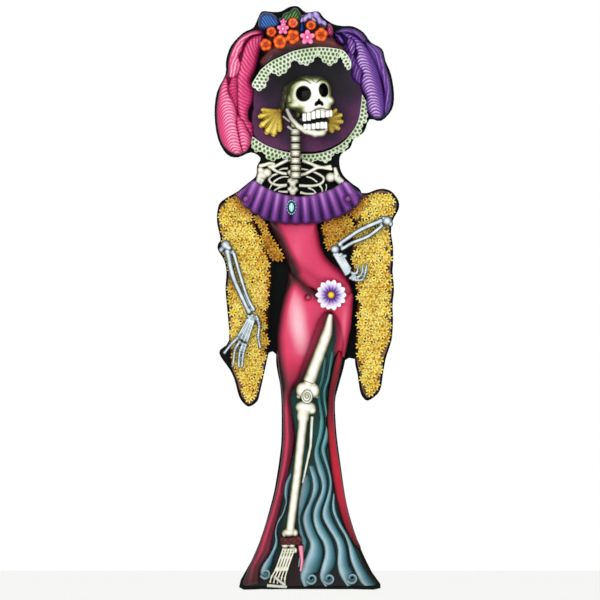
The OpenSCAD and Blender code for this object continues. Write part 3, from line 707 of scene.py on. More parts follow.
LOCK_EDGES = [
    ([[-14, 232], [-19, 222], [-26, 190], [-28, 160], [-28, 140], [-25, 112], [-22, 96], [-26, 70],
      [-28, 50]],
     [[-9, 238], [-3, 226], [-2, 206], [-10, 181], [-21, 156], [-22, 140], [-15, 115], [-9, 97],
      [-24, 52]]),
    ([[-7, 252], [0, 227], [1, 206], [-6, 181], [-17, 158], [-19, 140], [-12, 115], [-5, 97],
      [-9, 80], [-21, 54], [-24, 29], [-16, 11]],
     [[5, 254], [15, 222], [14, 201], [2, 173], [0, 148], [8, 123], [19, 100], [24, 80], [20, 57],
      [13, 40], [4, 36], [-4, 14]]),
    ([[24, 470], [18, 430], [9, 396], [15, 351], [12, 318], [5, 288], [4, 270], [11, 242], [18, 222],
      [18, 201], [5, 170], [2, 145], [9, 120], [22, 98], [25, 76], [18, 50], [15, 29], [26, 11]],
     [[31, 470], [26, 430], [18, 396], [26, 346], [24, 318], [16, 288], [18, 270], [28, 242],
      [32, 219], [28, 191], [19, 163], [20, 143], [32, 122], [43, 101], [49, 72], [46, 50],
      [38, 40], [34, 14]]),
    ([[38, 480], [30, 430], [21, 396], [28, 346], [26, 321], [18, 290], [21, 272], [31, 242],
      [35, 217], [30, 192], [21, 165], [21, 149], [32, 127], [45, 106], [51, 85], [50, 57],
      [55, 34], [70, 12]],
     [[46, 480], [38, 430], [29, 396], [35, 346], [36, 308], [29, 286], [33, 262], [38, 242],
      [42, 217], [40, 191], [37, 170], [43, 145], [57, 119], [68, 97], [73, 68], [77, 50],
      [84, 42], [80, 14]]),
    ([[43, 198], [40, 175], [43, 156], [54, 131], [65, 113], [72, 92], [76, 67], [84, 45], [95, 22],
      [104, 13]],
     [[46, 196], [48, 170], [55, 148], [69, 123], [85, 92], [95, 67], [107, 44], [118, 28],
      [128, 14]]),
    ([[-43, 238], [-54, 217], [-56, 196], [-53, 181], [-60, 157], [-71, 140], [-75, 120],
      [-74, 100], [-85, 75], [-99, 55], [-104, 38], [-96, 24]],
     [[-40, 232], [-45, 212], [-47, 190], [-50, 172], [-57, 152], [-66, 136], [-69, 118],
      [-66, 96], [-74, 75], [-78, 56], [-82, 48], [-86, 30]]),
]
CURLS = [(-1, 27, 12.5), (34, 27, 12.5), (80, 28, 12.5), (-93, 37, 12)]
CURL_TURNS = 1.45


def curl_tube(x, up, radius, back, rows=40, sides=8):
    """A spiral roll that winds in to its centre."""
    places, share, faces = [], [], []
    for i in range(rows):
        t = i / (rows - 1)
        angle = math.radians(200) + 2 * math.pi * CURL_TURNS * t
        reach = radius * (1 - 0.72 * t) * 0.72
        thick = radius * 0.34 * (1 - 0.55 * t)
        for k in range(sides):
            turn = 2 * math.pi * k / sides
            out = reach + thick * math.cos(turn)
            places.append((x + out * math.cos(angle), up + out * math.sin(angle),
                           back + thick + thick * math.sin(turn)))
            # the front half takes the lock's painted highlight and shade across it, the half toward the wall
            # the dark end
            share.append(0.5 - 0.5 * math.cos(turn) if math.sin(turn) > 0 else 0.95)
    for i in range(rows - 1):
        for k in range(sides):
            n, m = i * sides + k, i * sides + (k + 1) % sides
            faces.append((n, m, m + sides, n + sides))
    faces.append(tuple(range(sides))[::-1])
    faces.append(tuple(range((rows - 1) * sides, rows * sides)))
    return places, faces, share


rolls = [roll_between(left, right, BACKING_FRONT + 0.3, LOCK_FRONT - BACKING_FRONT - 0.8)
         for left, right in LOCK_EDGES]
places, faces, share = [], [], []
for part in rolls + [curl_tube(*curl, BACKING_FRONT + 1) for curl in CURLS]:
    faces += [tuple(n + len(places) for n in face) for face in part[1]]
    places += part[0]
    share += part[2]
locks = from_places("underskirt_locks_modelled", places, faces)
face_outward()
bpy.ops.object.shade_smooth()
lock_share = np.array(share)


def lock_colour(spots, normal):
    """Painted highlight in pale blue-white along the left, teal through the middle, painted shade in
    black-green on the right.
    """
    deep = blend_colours(
        lock_share, (0.0, "#0c2f2e"), (0.08, "#8fbcc4"), (0.18, "#cfe4ec"), (0.34, "#92b9c6"),
        (0.58, "#548a98"), (0.8, "#24606a"), (0.93, "#0c3238"), (1.0, "#041416"),
    )
    green = np.clip((spots[:, 1] - 230) / 130, 0, 0.75)[:, None]
    deep = deep * (1 - green) + green * deep * np.array([0.35, 0.95, 0.8])
    # painted light and shade along the lock's length
    light = np.interp(spots[:, 1], [10, 60, 150, 250, 380, 500], [0.6, 0.9, 0.95, 0.85, 0.75, 0.6])
    return deep * (light + 0.08 * streaks(spots, 14))[:, None]


settle(locks, "skirt", "underskirt_locks", TEAL_PAINT, lock_colour)

# ---------------------------------------------------------------------------
# Leg: thigh bone, kneecap and shin bones, each modelled over a wire core in paper pulp,
# sanded, painted bone white with painted shade in olive-grey where the surface turns away from
# the front, and varnished.
BONE_PAINT = varnished_paint("varnished_bone_white_paint_on_paper_pulp", unevenness=0.05)


def ball(x, up, out, rx, rup=None, rout=None, turn=0.0):
    """A lump of pulp: a ball stretched across, up and outward, in mm."""
    rup, rout = rup or rx, rout or rup or rx
    bpy.ops.mesh.primitive_uv_sphere_add(segments=24, ring_count=16, location=place(x, up, out))
    bpy.context.object.scale = (rx * MM, rout * MM, rup * MM)
    bpy.context.object.rotation_euler = (0, -math.radians(turn), 0)
    return bpy.context.object


def rod(a, b, ra, rb, sides=20):
    """A tapered roll of pulp between two places."""
    start, end = place(*a), place(*b)
    way = end - start
    bpy.ops.mesh.primitive_cone_add(
        vertices=sides, radius1=ra * MM, radius2=rb * MM, depth=way.length, location=(start + end) / 2
    )
    bpy.context.object.rotation_euler = way.to_track_quat("Z", "Y").to_euler()
    return bpy.context.object


def pulp(name, lumps, cell=1.2, rounds=3):
    """Joins lumps and smooths them into one modelled shape."""
    piece = joined(lumps, name)
    modify(piece, "REMESH", mode="VOXEL", voxel_size=cell * MM, use_smooth_shade=True)
    modify(piece, "SMOOTH", factor=0.5, iterations=rounds)
    return piece


def bone_colour(spots, normal):
    # painted shade: olive-grey to near black where the surface turns away from the front
    lit = painted_front_light(normal)
    return blend_colours(
        np.clip(lit + 0.05 * streaks(spots, 9), 0, 1),
        (0.0, "#16150a"), (0.4, "#4c4a30"), (0.64, "#92906e"), (0.82, "#cfceb6"), (0.94, "#efeee0"),
        (1.0, "#fdfdf6"),
    )


def bone(node_name, lumps, body, colour=bone_colour, cell=1.2, rounds=3):
    """One bone of the white skeleton, modelled, painted and fitted."""
    piece = pulp(node_name + "_modelled", lumps, cell=cell, rounds=rounds)
    settle(piece, body, node_name, BONE_PAINT, colour)


bone("femur", [
    rod((37, 556, 39), (31, 520, 41), 5, 11), rod((31, 520, 41), (-6, 420, 41), 11.5, 13.5),
    ball(36, 548, 39, 6), ball(-20, 404, 42, 13, 16, 11), ball(4, 403, 42, 12, 15, 11),
    ball(-8, 412, 42, 12, 14, 11), ball(-26, 392, 40, 6), ball(9, 392, 40, 5),
], "skirt")

KNEE_RING_MM = 4.4


def kneecap_colour(spots, normal):
    """White, with a dark spiral line wound in to the middle."""
    x, up = spots[:, 0] + 10, (spots[:, 1] - 392) / 1.25
    turn = np.arctan2(up, x) / (2 * math.pi)
    ring = (np.hypot(x, up) / KNEE_RING_MM + turn) % 1.0
    line = np.maximum(np.exp(-(((ring - 0.5) / 0.15) ** 2)), np.hypot(x, up) > 11.2)
    white = bone_colour(spots, normal)
    return white * (1 - 0.92 * line[:, None]) + 0.92 * line[:, None] * linear("#39443a")


bone("kneecap", [
    ball(-10, 391, 53, 12, 14, 4), ball(-10, 391, 55, 8, 10, 4), ball(-10, 392, 57, 4, 5, 4),
], "skirt", kneecap_colour, cell=0.7)

bone("shin_bones", [
    ball(-13, 370, 41, 21, 14, 11), ball(-18, 352, 41, 13, 18, 10), ball(0, 364, 40, 9, 9, 9),
    rod((-17, 352, 41), (-29, 240, 41), 10, 9), rod((-29, 240, 41), (-44, 124, 41), 9, 9),
    ball(-46, 120, 41, 14, 9, 11), ball(-34, 119, 40, 7, 8, 8), ball(-55, 118, 40, 6, 8, 8),
    rod((0, 352, 35), (-3, 292, 34), 4, 3.4), rod((-3, 292, 34), (-19, 218, 34), 3.4, 2.6),
], "skirt")

# ---------------------------------------------------------------------------
# Foot: two ankle bones, five long bones and their toes, each a thin pulp rod with knuckles,
# seen from in front and standing on the toes in a high shoe.


def bone_rod(a, b, thin, knob):
    """A small bone: a rod with a knob at each end."""
    way = (Vector(b) - Vector(a)).normalized() * knob * 0.7
    first, last = Vector(a) + way, Vector(b) - way
    return [rod(tuple(first), tuple(last), thin, thin, 10), ball(*first, knob), ball(*last, knob)]


lumps = [ball(-54, 94, 36, 8, 6, 7), ball(-40, 94, 36, 7, 6, 7), ball(-33, 84, 34, 4, 6, 5)]
for i in range(5):
    top = (-57 + 5.6 * i, 88, 34)
    joint = (-72 + 5.6 * i, 46, 35)
    toe = (-81 + 6.6 * i, 31 - i, 34)
    tip = (-84 + 7.4 * i, 19 - i, 33)
    lumps += bone_rod(top, joint, 2.1, 2.9) + bone_rod(joint, toe, 1.9, 2.7) + bone_rod(toe, tip, 1.8, 2.5)
bone("foot_bones", lumps, "skirt", cell=0.8, rounds=1)

# ---------------------------------------------------------------------------
# Shoe: a dark red ankle strap of rolled paper, a slim heel painted pink-red, and the light
# bar of the sole under the toes.
SHOE_PAINT = varnished_paint("varnished_dark_red_paint_on_rolled_paper", coat=0.3)
shoe = pulp("shoe_modelled", [
    rod((-63, 104, 38), (-20, 106, 38), 8, 8), rod((-60, 100, 40), (-24, 101, 40), 6, 6),
    rod((-23, 96, 34), (-20, 62, 33), 6, 3.4), rod((-20, 62, 33), (-23, 42, 32), 3.4, 2.4),
    rod((-90, 14, 35), (-50, 11, 35), 3.4, 3.0), rod((-74, 30, 38), (-53, 14, 38), 3.0, 2.6),
], cell=1.0, rounds=2)


def shoe_colour(spots, normal):
    strap = blend_colours(
        np.clip(0.5 + 0.5 * streaks(spots, 3.2), 0, 1), (0.0, "#1c0406"), (0.6, "#4a0a10"), (1.0, "#7a1c20"),
    )
    # heel and sole: painted shade where they turn away, painted highlight where they face the front
    heel = blend_colours(painted_front_light(normal), (0.0, "#3a0410"), (0.6, "#c8305c"), (1.0, "#f0a0bc"))
    sole = blend_colours(painted_front_light(normal), (0.0, "#3c3a34"), (1.0, "#d8d6cc"))
    up = spots[:, 1][:, None]
    return np.where(up > 93, strap, np.where(up > 36, heel, sole))


settle(shoe, "skirt", "shoe", SHOE_PAINT, shoe_colour)

# ---------------------------------------------------------------------------
# Hip flower: fourteen cupped petals cut from thin board and pulp, white with violet at their
# roots, around a yellow button of rolled seeds. It is glued to the skirt over the hip.
PETAL_PAINT = varnished_paint("varnished_white_and_violet_petal_paint", brush_mm=1.5, unevenness=0.05)
FLOWER = (38, 594)
PETALS = 14
SEEDS = 46
GOLDEN_ANGLE = 2.39996


def petal_fan(name, centre, out, count, length, width, layers=2, cup=2.5, start=6.0, lift=1.6):
    """Petals round a centre, in layers, each cupped and a little turned."""
    places, faces, share = [], [], []
    rows, across = 9, 5
    for i in range(count):
        angle = 2 * math.pi * i / count
        layer = i % layers
        for r in range(rows):
            t = r / (rows - 1)
            uneven = 0.94 + 0.06 * math.cos(5 * i)
            wide = width * (0.3 + 0.7 * t**0.8) * min(1.0, 0.42 + 3.2 * (1 - t)) * uneven
            for k in range(across):
                s = 2 * k / (across - 1) - 1
                tip = 1 - 0.09 * s * s + 0.03 * math.sin(3 * i) + 0.02 * math.cos(9 * s)
                reach = start + (length - start) * t * tip
                side = wide / 2 * s
                x = centre[0] + reach * math.cos(angle) - side * math.sin(angle)
                up = centre[1] + reach * math.sin(angle) + side * math.cos(angle)
                places.append((x, up, out + lift * layer + cup * t * t * 0.6 + 1.1 * s * s))
                share.append((t, s))
        base = i * rows * across
        for r in range(rows - 1):
            for k in range(across - 1):
                n = base + r * across + k
                faces.append((n, n + across, n + across + 1, n + 1))
    piece = from_places(name, places, faces)
    return piece, np.array(share)


flower, petal_share = petal_fan("hip_flower_modelled", FLOWER, 54, PETALS, 30.5, 16.5)


def petal_colour(spots, normal):
    t, s = petal_share[:, 0], petal_share[:, 1]
    vein = 0.25 * np.exp(-((s / 0.35) ** 2)) * np.clip(1 - t, 0, 1)
    # painted shade: each petal a little darker toward its sides
    return blend_colours(
        np.clip(t - 1.3 * vein, 0, 1), (0.0, "#3c1a6e"), (0.18, "#7a4cb4"), (0.36, "#b89ada"),
        (0.55, "#e8dcf4"), (0.8, "#fbf8ff"), (1.0, "#ffffff"),
    ) * (1 - 0.22 * np.abs(s) ** 4)[:, None]


paint(flower, petal_colour)
modify(flower, "SOLIDIFY", thickness=1.2 * MM, offset=-1)
modify(flower, "SUBSURF", levels=1, render_levels=1)
bpy.ops.object.shade_smooth()
fit(flower, "skirt", "hip_flower", PETAL_PAINT)

deselect()
seeds = [ball(*FLOWER, 56, 7.5, 7.5, 5)]
for i in range(SEEDS):
    angle = GOLDEN_ANGLE * i
    reach = 7.2 * math.sqrt((i + 0.5) / SEEDS)
    out = 56 + 5.2 * math.sqrt(max(0, 1 - (reach / 8.2) ** 2))
    seeds.append(ball(FLOWER[0] + reach * math.cos(angle), FLOWER[1] + reach * math.sin(angle), out, 0.9))
button = pulp("hip_flower_centre_modelled", seeds, cell=0.4, rounds=1)
YELLOW_PAINT = varnished_paint("varnished_yellow_paint_on_seed_beads", brush_mm=1.0)


def button_colour(spots, normal):
    reach = np.hypot(spots[:, 0] - FLOWER[0], spots[:, 1] - FLOWER[1])
    # painted shade toward the button's rim and where it turns away from the front
    return blend_colours(
        np.clip(reach / 8, 0, 1) + 0.2 * (1 - painted_front_light(normal)),
        (0.0, "#f8e060"), (0.55, "#f4c428"), (0.85, "#b87410"), (1.0, "#5a2c50"),
    )


settle(button, "skirt", "hip_flower_centre", YELLOW_PAINT, button_colour)

# ---------------------------------------------------------------------------
# Hat brim: a shallow dish of papier-mache seen from inside, dark plum washed over black.
HAT_PAINT = varnished_paint("varnished_plum_and_maroon_paint_on_papier_mache", brush_mm=8, unevenness=0.2)
BRIM_CENTRE = np.array([-8.0, 985.0])
BRIM_RX, BRIM_RUP = 111, 106

angles = np.linspace(0, 2 * math.pi, 72, endpoint=False)
brim_line = BRIM_CENTRE + np.stack([BRIM_RX * np.cos(angles), BRIM_RUP * np.sin(angles)], 1)
# at the lower left the brim reaches further out, down to the lace
BRIM_CORNER = [[-119, 962], [-121, 935], [-116, 912], [-96, 895], [-70, 885], [-40, 880]]
low_left = (np.degrees(angles) > 196) & (np.degrees(angles) < 252)
first = int(np.argmax(low_left))
after = first + int(low_left.sum())
brim_line = np.vstack([brim_line[:first], even_line(BRIM_CORNER, 30), brim_line[after:]])


def dish_depth(spots, gap):
    """Lowest behind the skull and rising to the rim."""
    return 16 + 4 * np.clip(1 - gap / 100, 0, 1) ** 1.5


brim = build_up("hat_brim_modelled", None, BODY_FRONT, 20, cell=2.6, line=brim_line, shape=dish_depth)


def brim_colour(spots, normal):
    x, up = (spots[:, 0] - BRIM_CENTRE[0]) / BRIM_RX, (spots[:, 1] - BRIM_CENTRE[1]) / BRIM_RUP
    reach = np.hypot(x, up)
    plum = np.clip(0.15 + 0.9 * reach - 0.75 * np.clip(up + 0.25, 0, 1) + 0.25 * streaks(spots, 26), 0, 1)
    return blend_colours(plum, (0.0, "#0e0b12"), (0.35, "#1b1322"), (0.7, "#34163a"), (1.0, "#562450"))


settle(brim, "root", "hat_brim", HAT_PAINT, brim_colour)

# ---------------------------------------------------------------------------
# Hat crown: a rounded maroon band over the brim; most of it is under the flowers.
crown = build_up("hat_crown_modelled", [
    [-104, 1060], [-92, 1078], [-90, 1100], [-88, 1134], [-64, 1148], [-36, 1155], [0, 1150],
    [24, 1134], [42, 1112], [52, 1096], [64, 1090], [70, 1078], [66, 1062], [40, 1074],
    [12, 1074], [-20, 1075], [-60, 1060], [-90, 1042],
], 14, 50, edge=16, cell=2.2)


def crown_colour(spots, normal):
    # painted shade: the crown is lightest along the band above the lace and darkens under the flowers and
    # where it turns away
    band = np.clip((gap_to(open_line([[-112, 1046], [-84, 1078], [-40, 1096], [20, 1101], [66, 1090]]),
                           spots[:, :2], closed=False)) / 16, 0, 1)
    return blend_colours(
        np.clip(1 - band + 0.12 * streaks(spots, 12), 0, 1),
        (0.0, "#0e0708"), (0.4, "#35141a"), (0.8, "#6a2c30"), (1.0, "#8a4644"),
    ) * (0.3 + 0.7 * painted_front_light(normal))[:, None]


settle(crown, "root", "hat_crown", HAT_PAINT, crown_colour)

# ---------------------------------------------------------------------------
# Lace: two bands of pale green-white cotton net along the hat's edge, one over the opening
# and one below it. Each band ends in scallops, and each scallop in small picots.
LACE_NET_MM = 8.2
UPPER_LACE_BACK, LOWER_LACE_BACK = 50, 19.5


def picots(low_points, lobes=5, depth=3.4):
    """An edge through a few points, with small round lobes along it."""
    line = even_line(low_points, lobes * 8 + 1)
    run = np.linspace(0, 1, len(line))
    way = np.gradient(line, axis=0)
    way /= np.hypot(way[:, 0], way[:, 1])[:, None]
    out = np.stack([way[:, 1], -way[:, 0]], 1)
    return (line + out * (depth * np.abs(np.sin(math.pi * lobes * run)))[:, None]).tolist()


UPPER_SCALLOPS = [
    [[-118, 1019], [-115, 1009], [-106, 1004], [-97, 1008], [-91, 1021], [-83, 1045]],
    [[-83, 1045], [-75, 1037], [-65, 1034], [-55, 1039], [-46, 1050], [-38, 1070]],
    [[-38, 1070], [-29, 1061], [-14, 1054], [-3, 1059], [5, 1068], [12, 1078]],
    [[12, 1078], [21, 1064], [35, 1054], [46, 1060], [53, 1068], [58, 1078]],
    [[58, 1078], [63, 1062], [70, 1048], [76, 1045]],
]
upper_edge = [[-102, 1044], [-82, 1060], [-60, 1071], [-40, 1080], [-20, 1085], [0, 1088], [20, 1089],
              [40, 1087], [60, 1083], [70, 1074], [78, 1060], [78, 1048]]
upper_line = np.array(sum([picots(s) for s in UPPER_SCALLOPS], []) + even_line(upper_edge, 60).tolist()[::-1])
LOWER_SCALLOPS = [
    [[-122, 904], [-118, 890], [-109, 881], [-99, 886]], [[-99, 886], [-88, 868], [-77, 864], [-60, 873]],
    [[-60, 873], [-50, 864], [-36, 864], [-22, 872]], [[-22, 872], [-12, 862], [0, 861], [12, 868]],
    [[12, 868], [22, 862], [32, 862], [44, 880]], [[44, 880], [55, 880], [66, 886], [77, 908]],
    [[77, 908], [86, 909], [94, 914], [100, 938]], [[100, 938], [107, 942], [109, 955], [106, 985]],
]
lower_edge = [[-120, 912], [-95, 895], [-70, 885], [-40, 878], [0, 876], [30, 882], [60, 898], [80, 920],
              [93, 945], [98, 975], [100, 996]]
lower_line = np.array(
    sum([picots(s, lobes=4) for s in LOWER_SCALLOPS], []) + even_line(lower_edge, 60).tolist()[::-1]
)


def net_holes(spots, edge):
    """How open the net is at each place, in rows that run along the band's edge."""
    line = open_line(edge)
    run = run_of(line)
    best, along = np.full(len(spots), 1e9), np.zeros(len(spots))
    for a, b, start in zip(line[:-1], line[1:], run):
        way = b - a
        t = np.clip(((spots[:, :2] - a) @ way) / (way @ way), 0, 1)
        gap = np.hypot(*(spots[:, :2] - a - t[:, None] * way).T)
        near = gap < best
        best[near], along[near] = gap[near], (start + t * math.hypot(*way))[near]
    row = best / LACE_NET_MM
    shift = 0.5 * (np.floor(row) % 2)
    u = np.abs((along / LACE_NET_MM + shift) % 1.0 - 0.5) * 2
    v = np.abs(row % 1.0 - 0.5) * 2
    return np.clip(2.0 - 2.1 * np.hypot(1.1 * u, 0.85 * v), 0, 1)


LACE_COTTON = varnished_paint("stiffened_pale_green_cotton_lace", brush_mm=1.2, unevenness=0.1, coat=0.1)


def lace_band(name, line, edge, back, node_name):
    """A band of net between its edge and its scallops."""
    def knotted(spots, gap):
        rim = np.clip(gap / 2.4, 0, 1)
        return back + 1.2 + 2.6 * np.sqrt(rim) * (1 - 0.9 * net_holes(spots, edge) * rim)

    def lace_colour(spots, normal):
        rim = np.clip(gap_to(line, spots[:, :2]) / 3.0, 0, 1)
        hole = net_holes(spots, edge) * rim
        patch = 0.5 + 0.5 * streaks(spots, 22, 3.0)
        thread = blend_colours(
            np.clip(patch, 0, 1), (0.0, "#c2dca4"), (0.4, "#e6f4d4"), (1.0, "#fbfff2"),
        )
        deep = blend_colours(np.clip(patch, 0, 1), (0.0, "#2c4620"), (1.0, "#56744a"))
        return thread * (1 - hole[:, None]) + deep * hole[:, None]

    band = build_up(name, None, back, back + 4, cell=0.9, line=line, shape=knotted)
    settle(band, "root", node_name, LACE_COTTON, lace_colour)


upper_rows = [[-132, 996]] + upper_edge[:-3] + [[80, 1064], [100, 1020]]
lace_band("upper_lace_modelled", upper_line, upper_rows, UPPER_LACE_BACK, "upper_lace")
lower_rows = [[-150, 936]] + lower_edge + [[102, 1020]]
lace_band("lower_lace_modelled", lower_line, lower_rows, LOWER_LACE_BACK, "lower_lace")

# ---------------------------------------------------------------------------
# Plumes: papier-mache built up in overlapping lobes, with the barbs drawn in the wet pulp as
# fine curving ridges. One is pink and the other violet, each with a painted highlight along its
# curls, pale pink on the one and lilac on the other.
BARB_MM = 6.4
PLUME_BASE = 20.6
PLUME_TOP = 44


def along_line(points, spots):
    """How far along a line each spot's nearest place is, and how far to its side."""
    line = open_line(points)
    run = run_of(line)
    best, along, side = np.full(len(spots), 1e9), np.zeros(len(spots)), np.zeros(len(spots))
    for i, (a, b) in enumerate(zip(line[:-1], line[1:])):
        way = b - a
        t = ((spots - a) @ way) / (way @ way)
        t = np.clip(t, -3.0 if i == 0 else 0, 4.0 if i == len(line) - 2 else 1)
        off = spots - a - t[:, None] * way
        gap = np.hypot(*off.T)
        near = gap < best
        best[near] = gap[near]
        along[near] = (run[i] + t * math.hypot(*way))[near]
        side[near] = (np.sign(way[0] * off[:, 1] - way[1] * off[:, 0]) * gap)[near]
    return along, side


def plume(name, outline, lobes, node_name, material, ramp):
    """A plume of lobes, each (outline, spine, lengthways, sideways, curl, light)."""
    line = smooth(outline)

    def lobed(spots):
        height = np.full(len(spots), 0.0)
        # painted shade, darkest, where no lobe lies
        shade = np.full(len(spots), 0.06)
        for rank, (edge, spine, a, b, curl, light) in enumerate(lobes):
            edge_line = smooth(edge)
            inside = within(edge_line, spots[:, :2])
            gap = gap_to(edge_line, spots[:, :2])
            s, d = along_line(spine, spots[:, :2])
            wander = 1.5 * streaks(spots, 11, rank) + 0.6 * streaks(spots, 3.5, rank + 2)
            ridge = 0.5 + 0.5 * np.sin(2 * math.pi * (a * s + b * d + curl * d * d + wander) / BARB_MM)
            dome = np.clip(gap / 13, 0, 1)
            dome = np.sqrt(1 - (1 - dome) ** 2)
            core = np.exp(-((d / 13) ** 2))
            stroke = 0.62 + 0.25 * ridge + 0.4 * ridge**6 * (0.4 + core)
            # painted light: lighter in the middle of each lobe and along its spine, painted shade toward its
            # edges
            tone = (0.24 + 0.32 * dome + light * core * np.clip((s + 10) / 60, 0, 1)) * stroke
            height[inside] = (2.0 + 1.1 * rank + 8 * dome + 1.5 * ridge * np.clip(gap / 3, 0, 1))[inside]
            shade[inside] = (tone * np.clip(gap / 3, 0.25, 1))[inside]
        return height, shade

    def rise(spots, gap):
        height, _ = lobed(spots)
        return np.minimum(PLUME_BASE + height * np.clip(gap / 8, 0.1, 1) ** 0.5, PLUME_TOP)

    piece = build_up(name, None, BODY_FRONT, 42, cell=1.25, line=line, shape=rise)
    settle(piece, "root", node_name, material,
           lambda spots, normal: blend_colours(np.clip(lobed(spots)[1], 0, 1), *ramp))


PINK_PAINT = varnished_paint("varnished_hot_pink_paint_on_papier_mache", brush_mm=1.5, unevenness=0.05)
plume("pink_feather_modelled", [
    [-97, 1118], [-104, 1123], [-118, 1122], [-138, 1113], [-156, 1093], [-166, 1066],
    [-168, 1040], [-176, 1025], [-185, 1002], [-191, 962], [-187, 920], [-178, 894], [-166, 881],
    [-150, 874], [-134, 879], [-124, 890], [-119, 906], [-117, 918], [-118, 934], [-126, 943],
    [-127, 962], [-119, 980], [-117, 1003], [-122, 1022], [-112, 1045], [-107, 1065],
    [-102, 1085], [-96, 1104],
], [
    ([[-97, 1113], [-112, 1112], [-126, 1104], [-136, 1088], [-142, 1064], [-148, 1040],
      [-151, 1010], [-150, 975], [-146, 950], [-132, 925], [-120, 908], [-118, 925], [-119, 938],
      [-126, 945], [-126, 962], [-119, 984], [-118, 1003], [-123, 1022], [-113, 1045],
      [-108, 1065], [-103, 1085], [-97, 1100]],
     [[-100, 1112], [-122, 1096], [-136, 1068], [-146, 1030], [-150, 985], [-142, 945], [-122, 905]],
     0.75, -0.62, 0.004, 0.12),
    ([[-150, 1035], [-162, 1026], [-168, 1006], [-161, 984], [-150, 962], [-147, 985], [-148, 1010]],
     [[-154, 1035], [-162, 1000], [-150, 962]], 0.9, 0.3, 0.0, -0.12),
    ([[-97, 1118], [-104, 1122], [-118, 1121], [-138, 1112], [-155, 1092], [-165, 1066],
      [-167, 1040], [-164, 1027], [-152, 1030], [-144, 1044], [-142, 1058], [-146, 1070],
      [-139, 1084], [-135, 1098], [-122, 1110], [-108, 1114]],
     [[-98, 1118], [-124, 1113], [-142, 1096], [-152, 1070], [-156, 1045], [-158, 1026]],
     0.12, 0.9, 0.0, 0.42),
    ([[-171, 1030], [-178, 1020], [-185, 1000], [-190, 962], [-187, 920], [-178, 895], [-166, 882],
      [-150, 875], [-134, 880], [-125, 891], [-120, 906], [-126, 924], [-140, 932], [-148, 948],
      [-150, 965], [-156, 980], [-166, 998], [-167, 1015]],
     [[-176, 1025], [-171, 990], [-166, 955], [-160, 915], [-152, 878]], 1.0, 0.0, -0.042, 0.42),
    ([[-150, 953], [-143, 949], [-134, 938], [-130, 928], [-122, 912], [-121, 900], [-128, 884],
      [-138, 880], [-144, 895], [-148, 915], [-152, 935]],
     [[-146, 955], [-142, 930], [-138, 905], [-136, 878]], 1.0, 0.0, -0.05, 0.3),
], "pink_feather", PINK_PAINT, [
    (0.0, "#4a0824"), (0.2, "#a01c52"), (0.42, "#d02c6a"), (0.65, "#e2588e"), (0.85, "#f088ae"),
    (1.0, "#fab8d0"),
])

VIOLET_PAINT = varnished_paint("varnished_violet_paint_on_papier_mache", brush_mm=1.5, unevenness=0.05)
plume("purple_feather_modelled", [
    [44, 1116], [50, 1122], [62, 1127], [82, 1126], [97, 1119], [107, 1108], [112, 1098],
    [126, 1093], [138, 1083], [143, 1066], [148, 1048], [155, 1028], [159, 1002], [158, 974],
    [150, 955], [138, 947], [124, 947], [113, 957], [107, 972], [108, 988], [100, 1002],
    [96, 1014], [87, 1018], [79, 1030], [76, 1046], [69, 1060], [66, 1078], [64, 1092], [52, 1096],
], [
    ([[62, 1092], [68, 1064], [78, 1048], [80, 1032], [88, 1019], [97, 1015], [100, 1030],
      [102, 1045], [90, 1060], [84, 1080], [74, 1092]],
     [[70, 1095], [82, 1060], [94, 1016]], 0.5, 0.8, 0.0, 0.05),
    ([[106, 1099], [122, 1094], [138, 1083], [143, 1066], [147, 1048], [154, 1028], [158, 1002],
      [157, 974], [150, 957], [144, 962], [144, 1000], [137, 1030], [127, 1055], [114, 1080]],
     [[106, 1098], [132, 1072], [146, 1030], [151, 990], [150, 955]], 0.12, 0.9, 0.0, 0.1),
    ([[45, 1117], [62, 1126], [82, 1125], [97, 1118], [106, 1106], [104, 1098], [92, 1108],
      [74, 1117], [56, 1117]],
     [[45, 1119], [76, 1121], [104, 1100]], 0.12, 0.9, 0.0, 0.1),
    ([[44, 1115], [47, 1104], [56, 1096], [65, 1096], [64, 1104], [56, 1114]],
     [[46, 1114], [58, 1104], [64, 1096]], 0.12, 0.9, 0.0, 0.22),
    ([[58, 1118], [76, 1116], [96, 1104], [112, 1085], [125, 1062], [136, 1032], [143, 998],
      [145, 968], [138, 949], [124, 949], [114, 958], [108, 973], [109, 989], [100, 1003],
      [97, 1018], [101, 1038], [92, 1050], [87, 1064], [90, 1078], [84, 1090], [72, 1104]],
     [[60, 1116], [84, 1095], [100, 1060], [110, 1025], [120, 985], [128, 948]], 1.0, 0.0, -0.045, 0.42),
    ([[70, 1106], [69, 1092], [74, 1078], [81, 1072], [87, 1082], [88, 1096], [80, 1108]],
     [[74, 1110], [78, 1090], [81, 1072]], 0.6, 0.8, -0.02, 0.3),
], "purple_feather", VIOLET_PAINT, [
    (0.0, "#160830"), (0.2, "#3a1c72"), (0.42, "#5a2c86"), (0.65, "#7a48a0"), (0.85, "#ac80c8"),
    (1.0, "#dcc0ea"),
])

# ---------------------------------------------------------------------------
# Leaves and petals standing along the top of the hat: blue, green and magenta leaves with
# pale brushed veins, and small lavender petals between them.
LEAF_PAINT = varnished_paint("varnished_leaf_paint_on_card", brush_mm=1.5, unevenness=0.08)
LEAVES = [
    ([[-106, 1128], [-106, 1146], [-98, 1157], [-84, 1157], [-72, 1150], [-63, 1138], [-66, 1128],
      [-80, 1124], [-94, 1122]], ("#04103a", "#10408c", "#4c8cd8"), 0.7),
    ([[-64, 1134], [-60, 1150], [-54, 1157], [-45, 1160], [-36, 1167], [-28, 1164], [-22, 1152],
      [-22, 1140], [-40, 1138]], ("#081c08", "#1e5418", "#74a850"), -0.6),
    ([[-26, 1118], [-25, 1134], [-20, 1141], [-14, 1134], [-14, 1118]],
     ("#04143c", "#12469c", "#5090dc"), 0.0),
    ([[28, 1112], [28, 1128], [32, 1136], [40, 1130], [43, 1118], [40, 1110]],
     ("#5a0a34", "#c42a6c", "#f27aa8"), -0.7),
]
parts = []
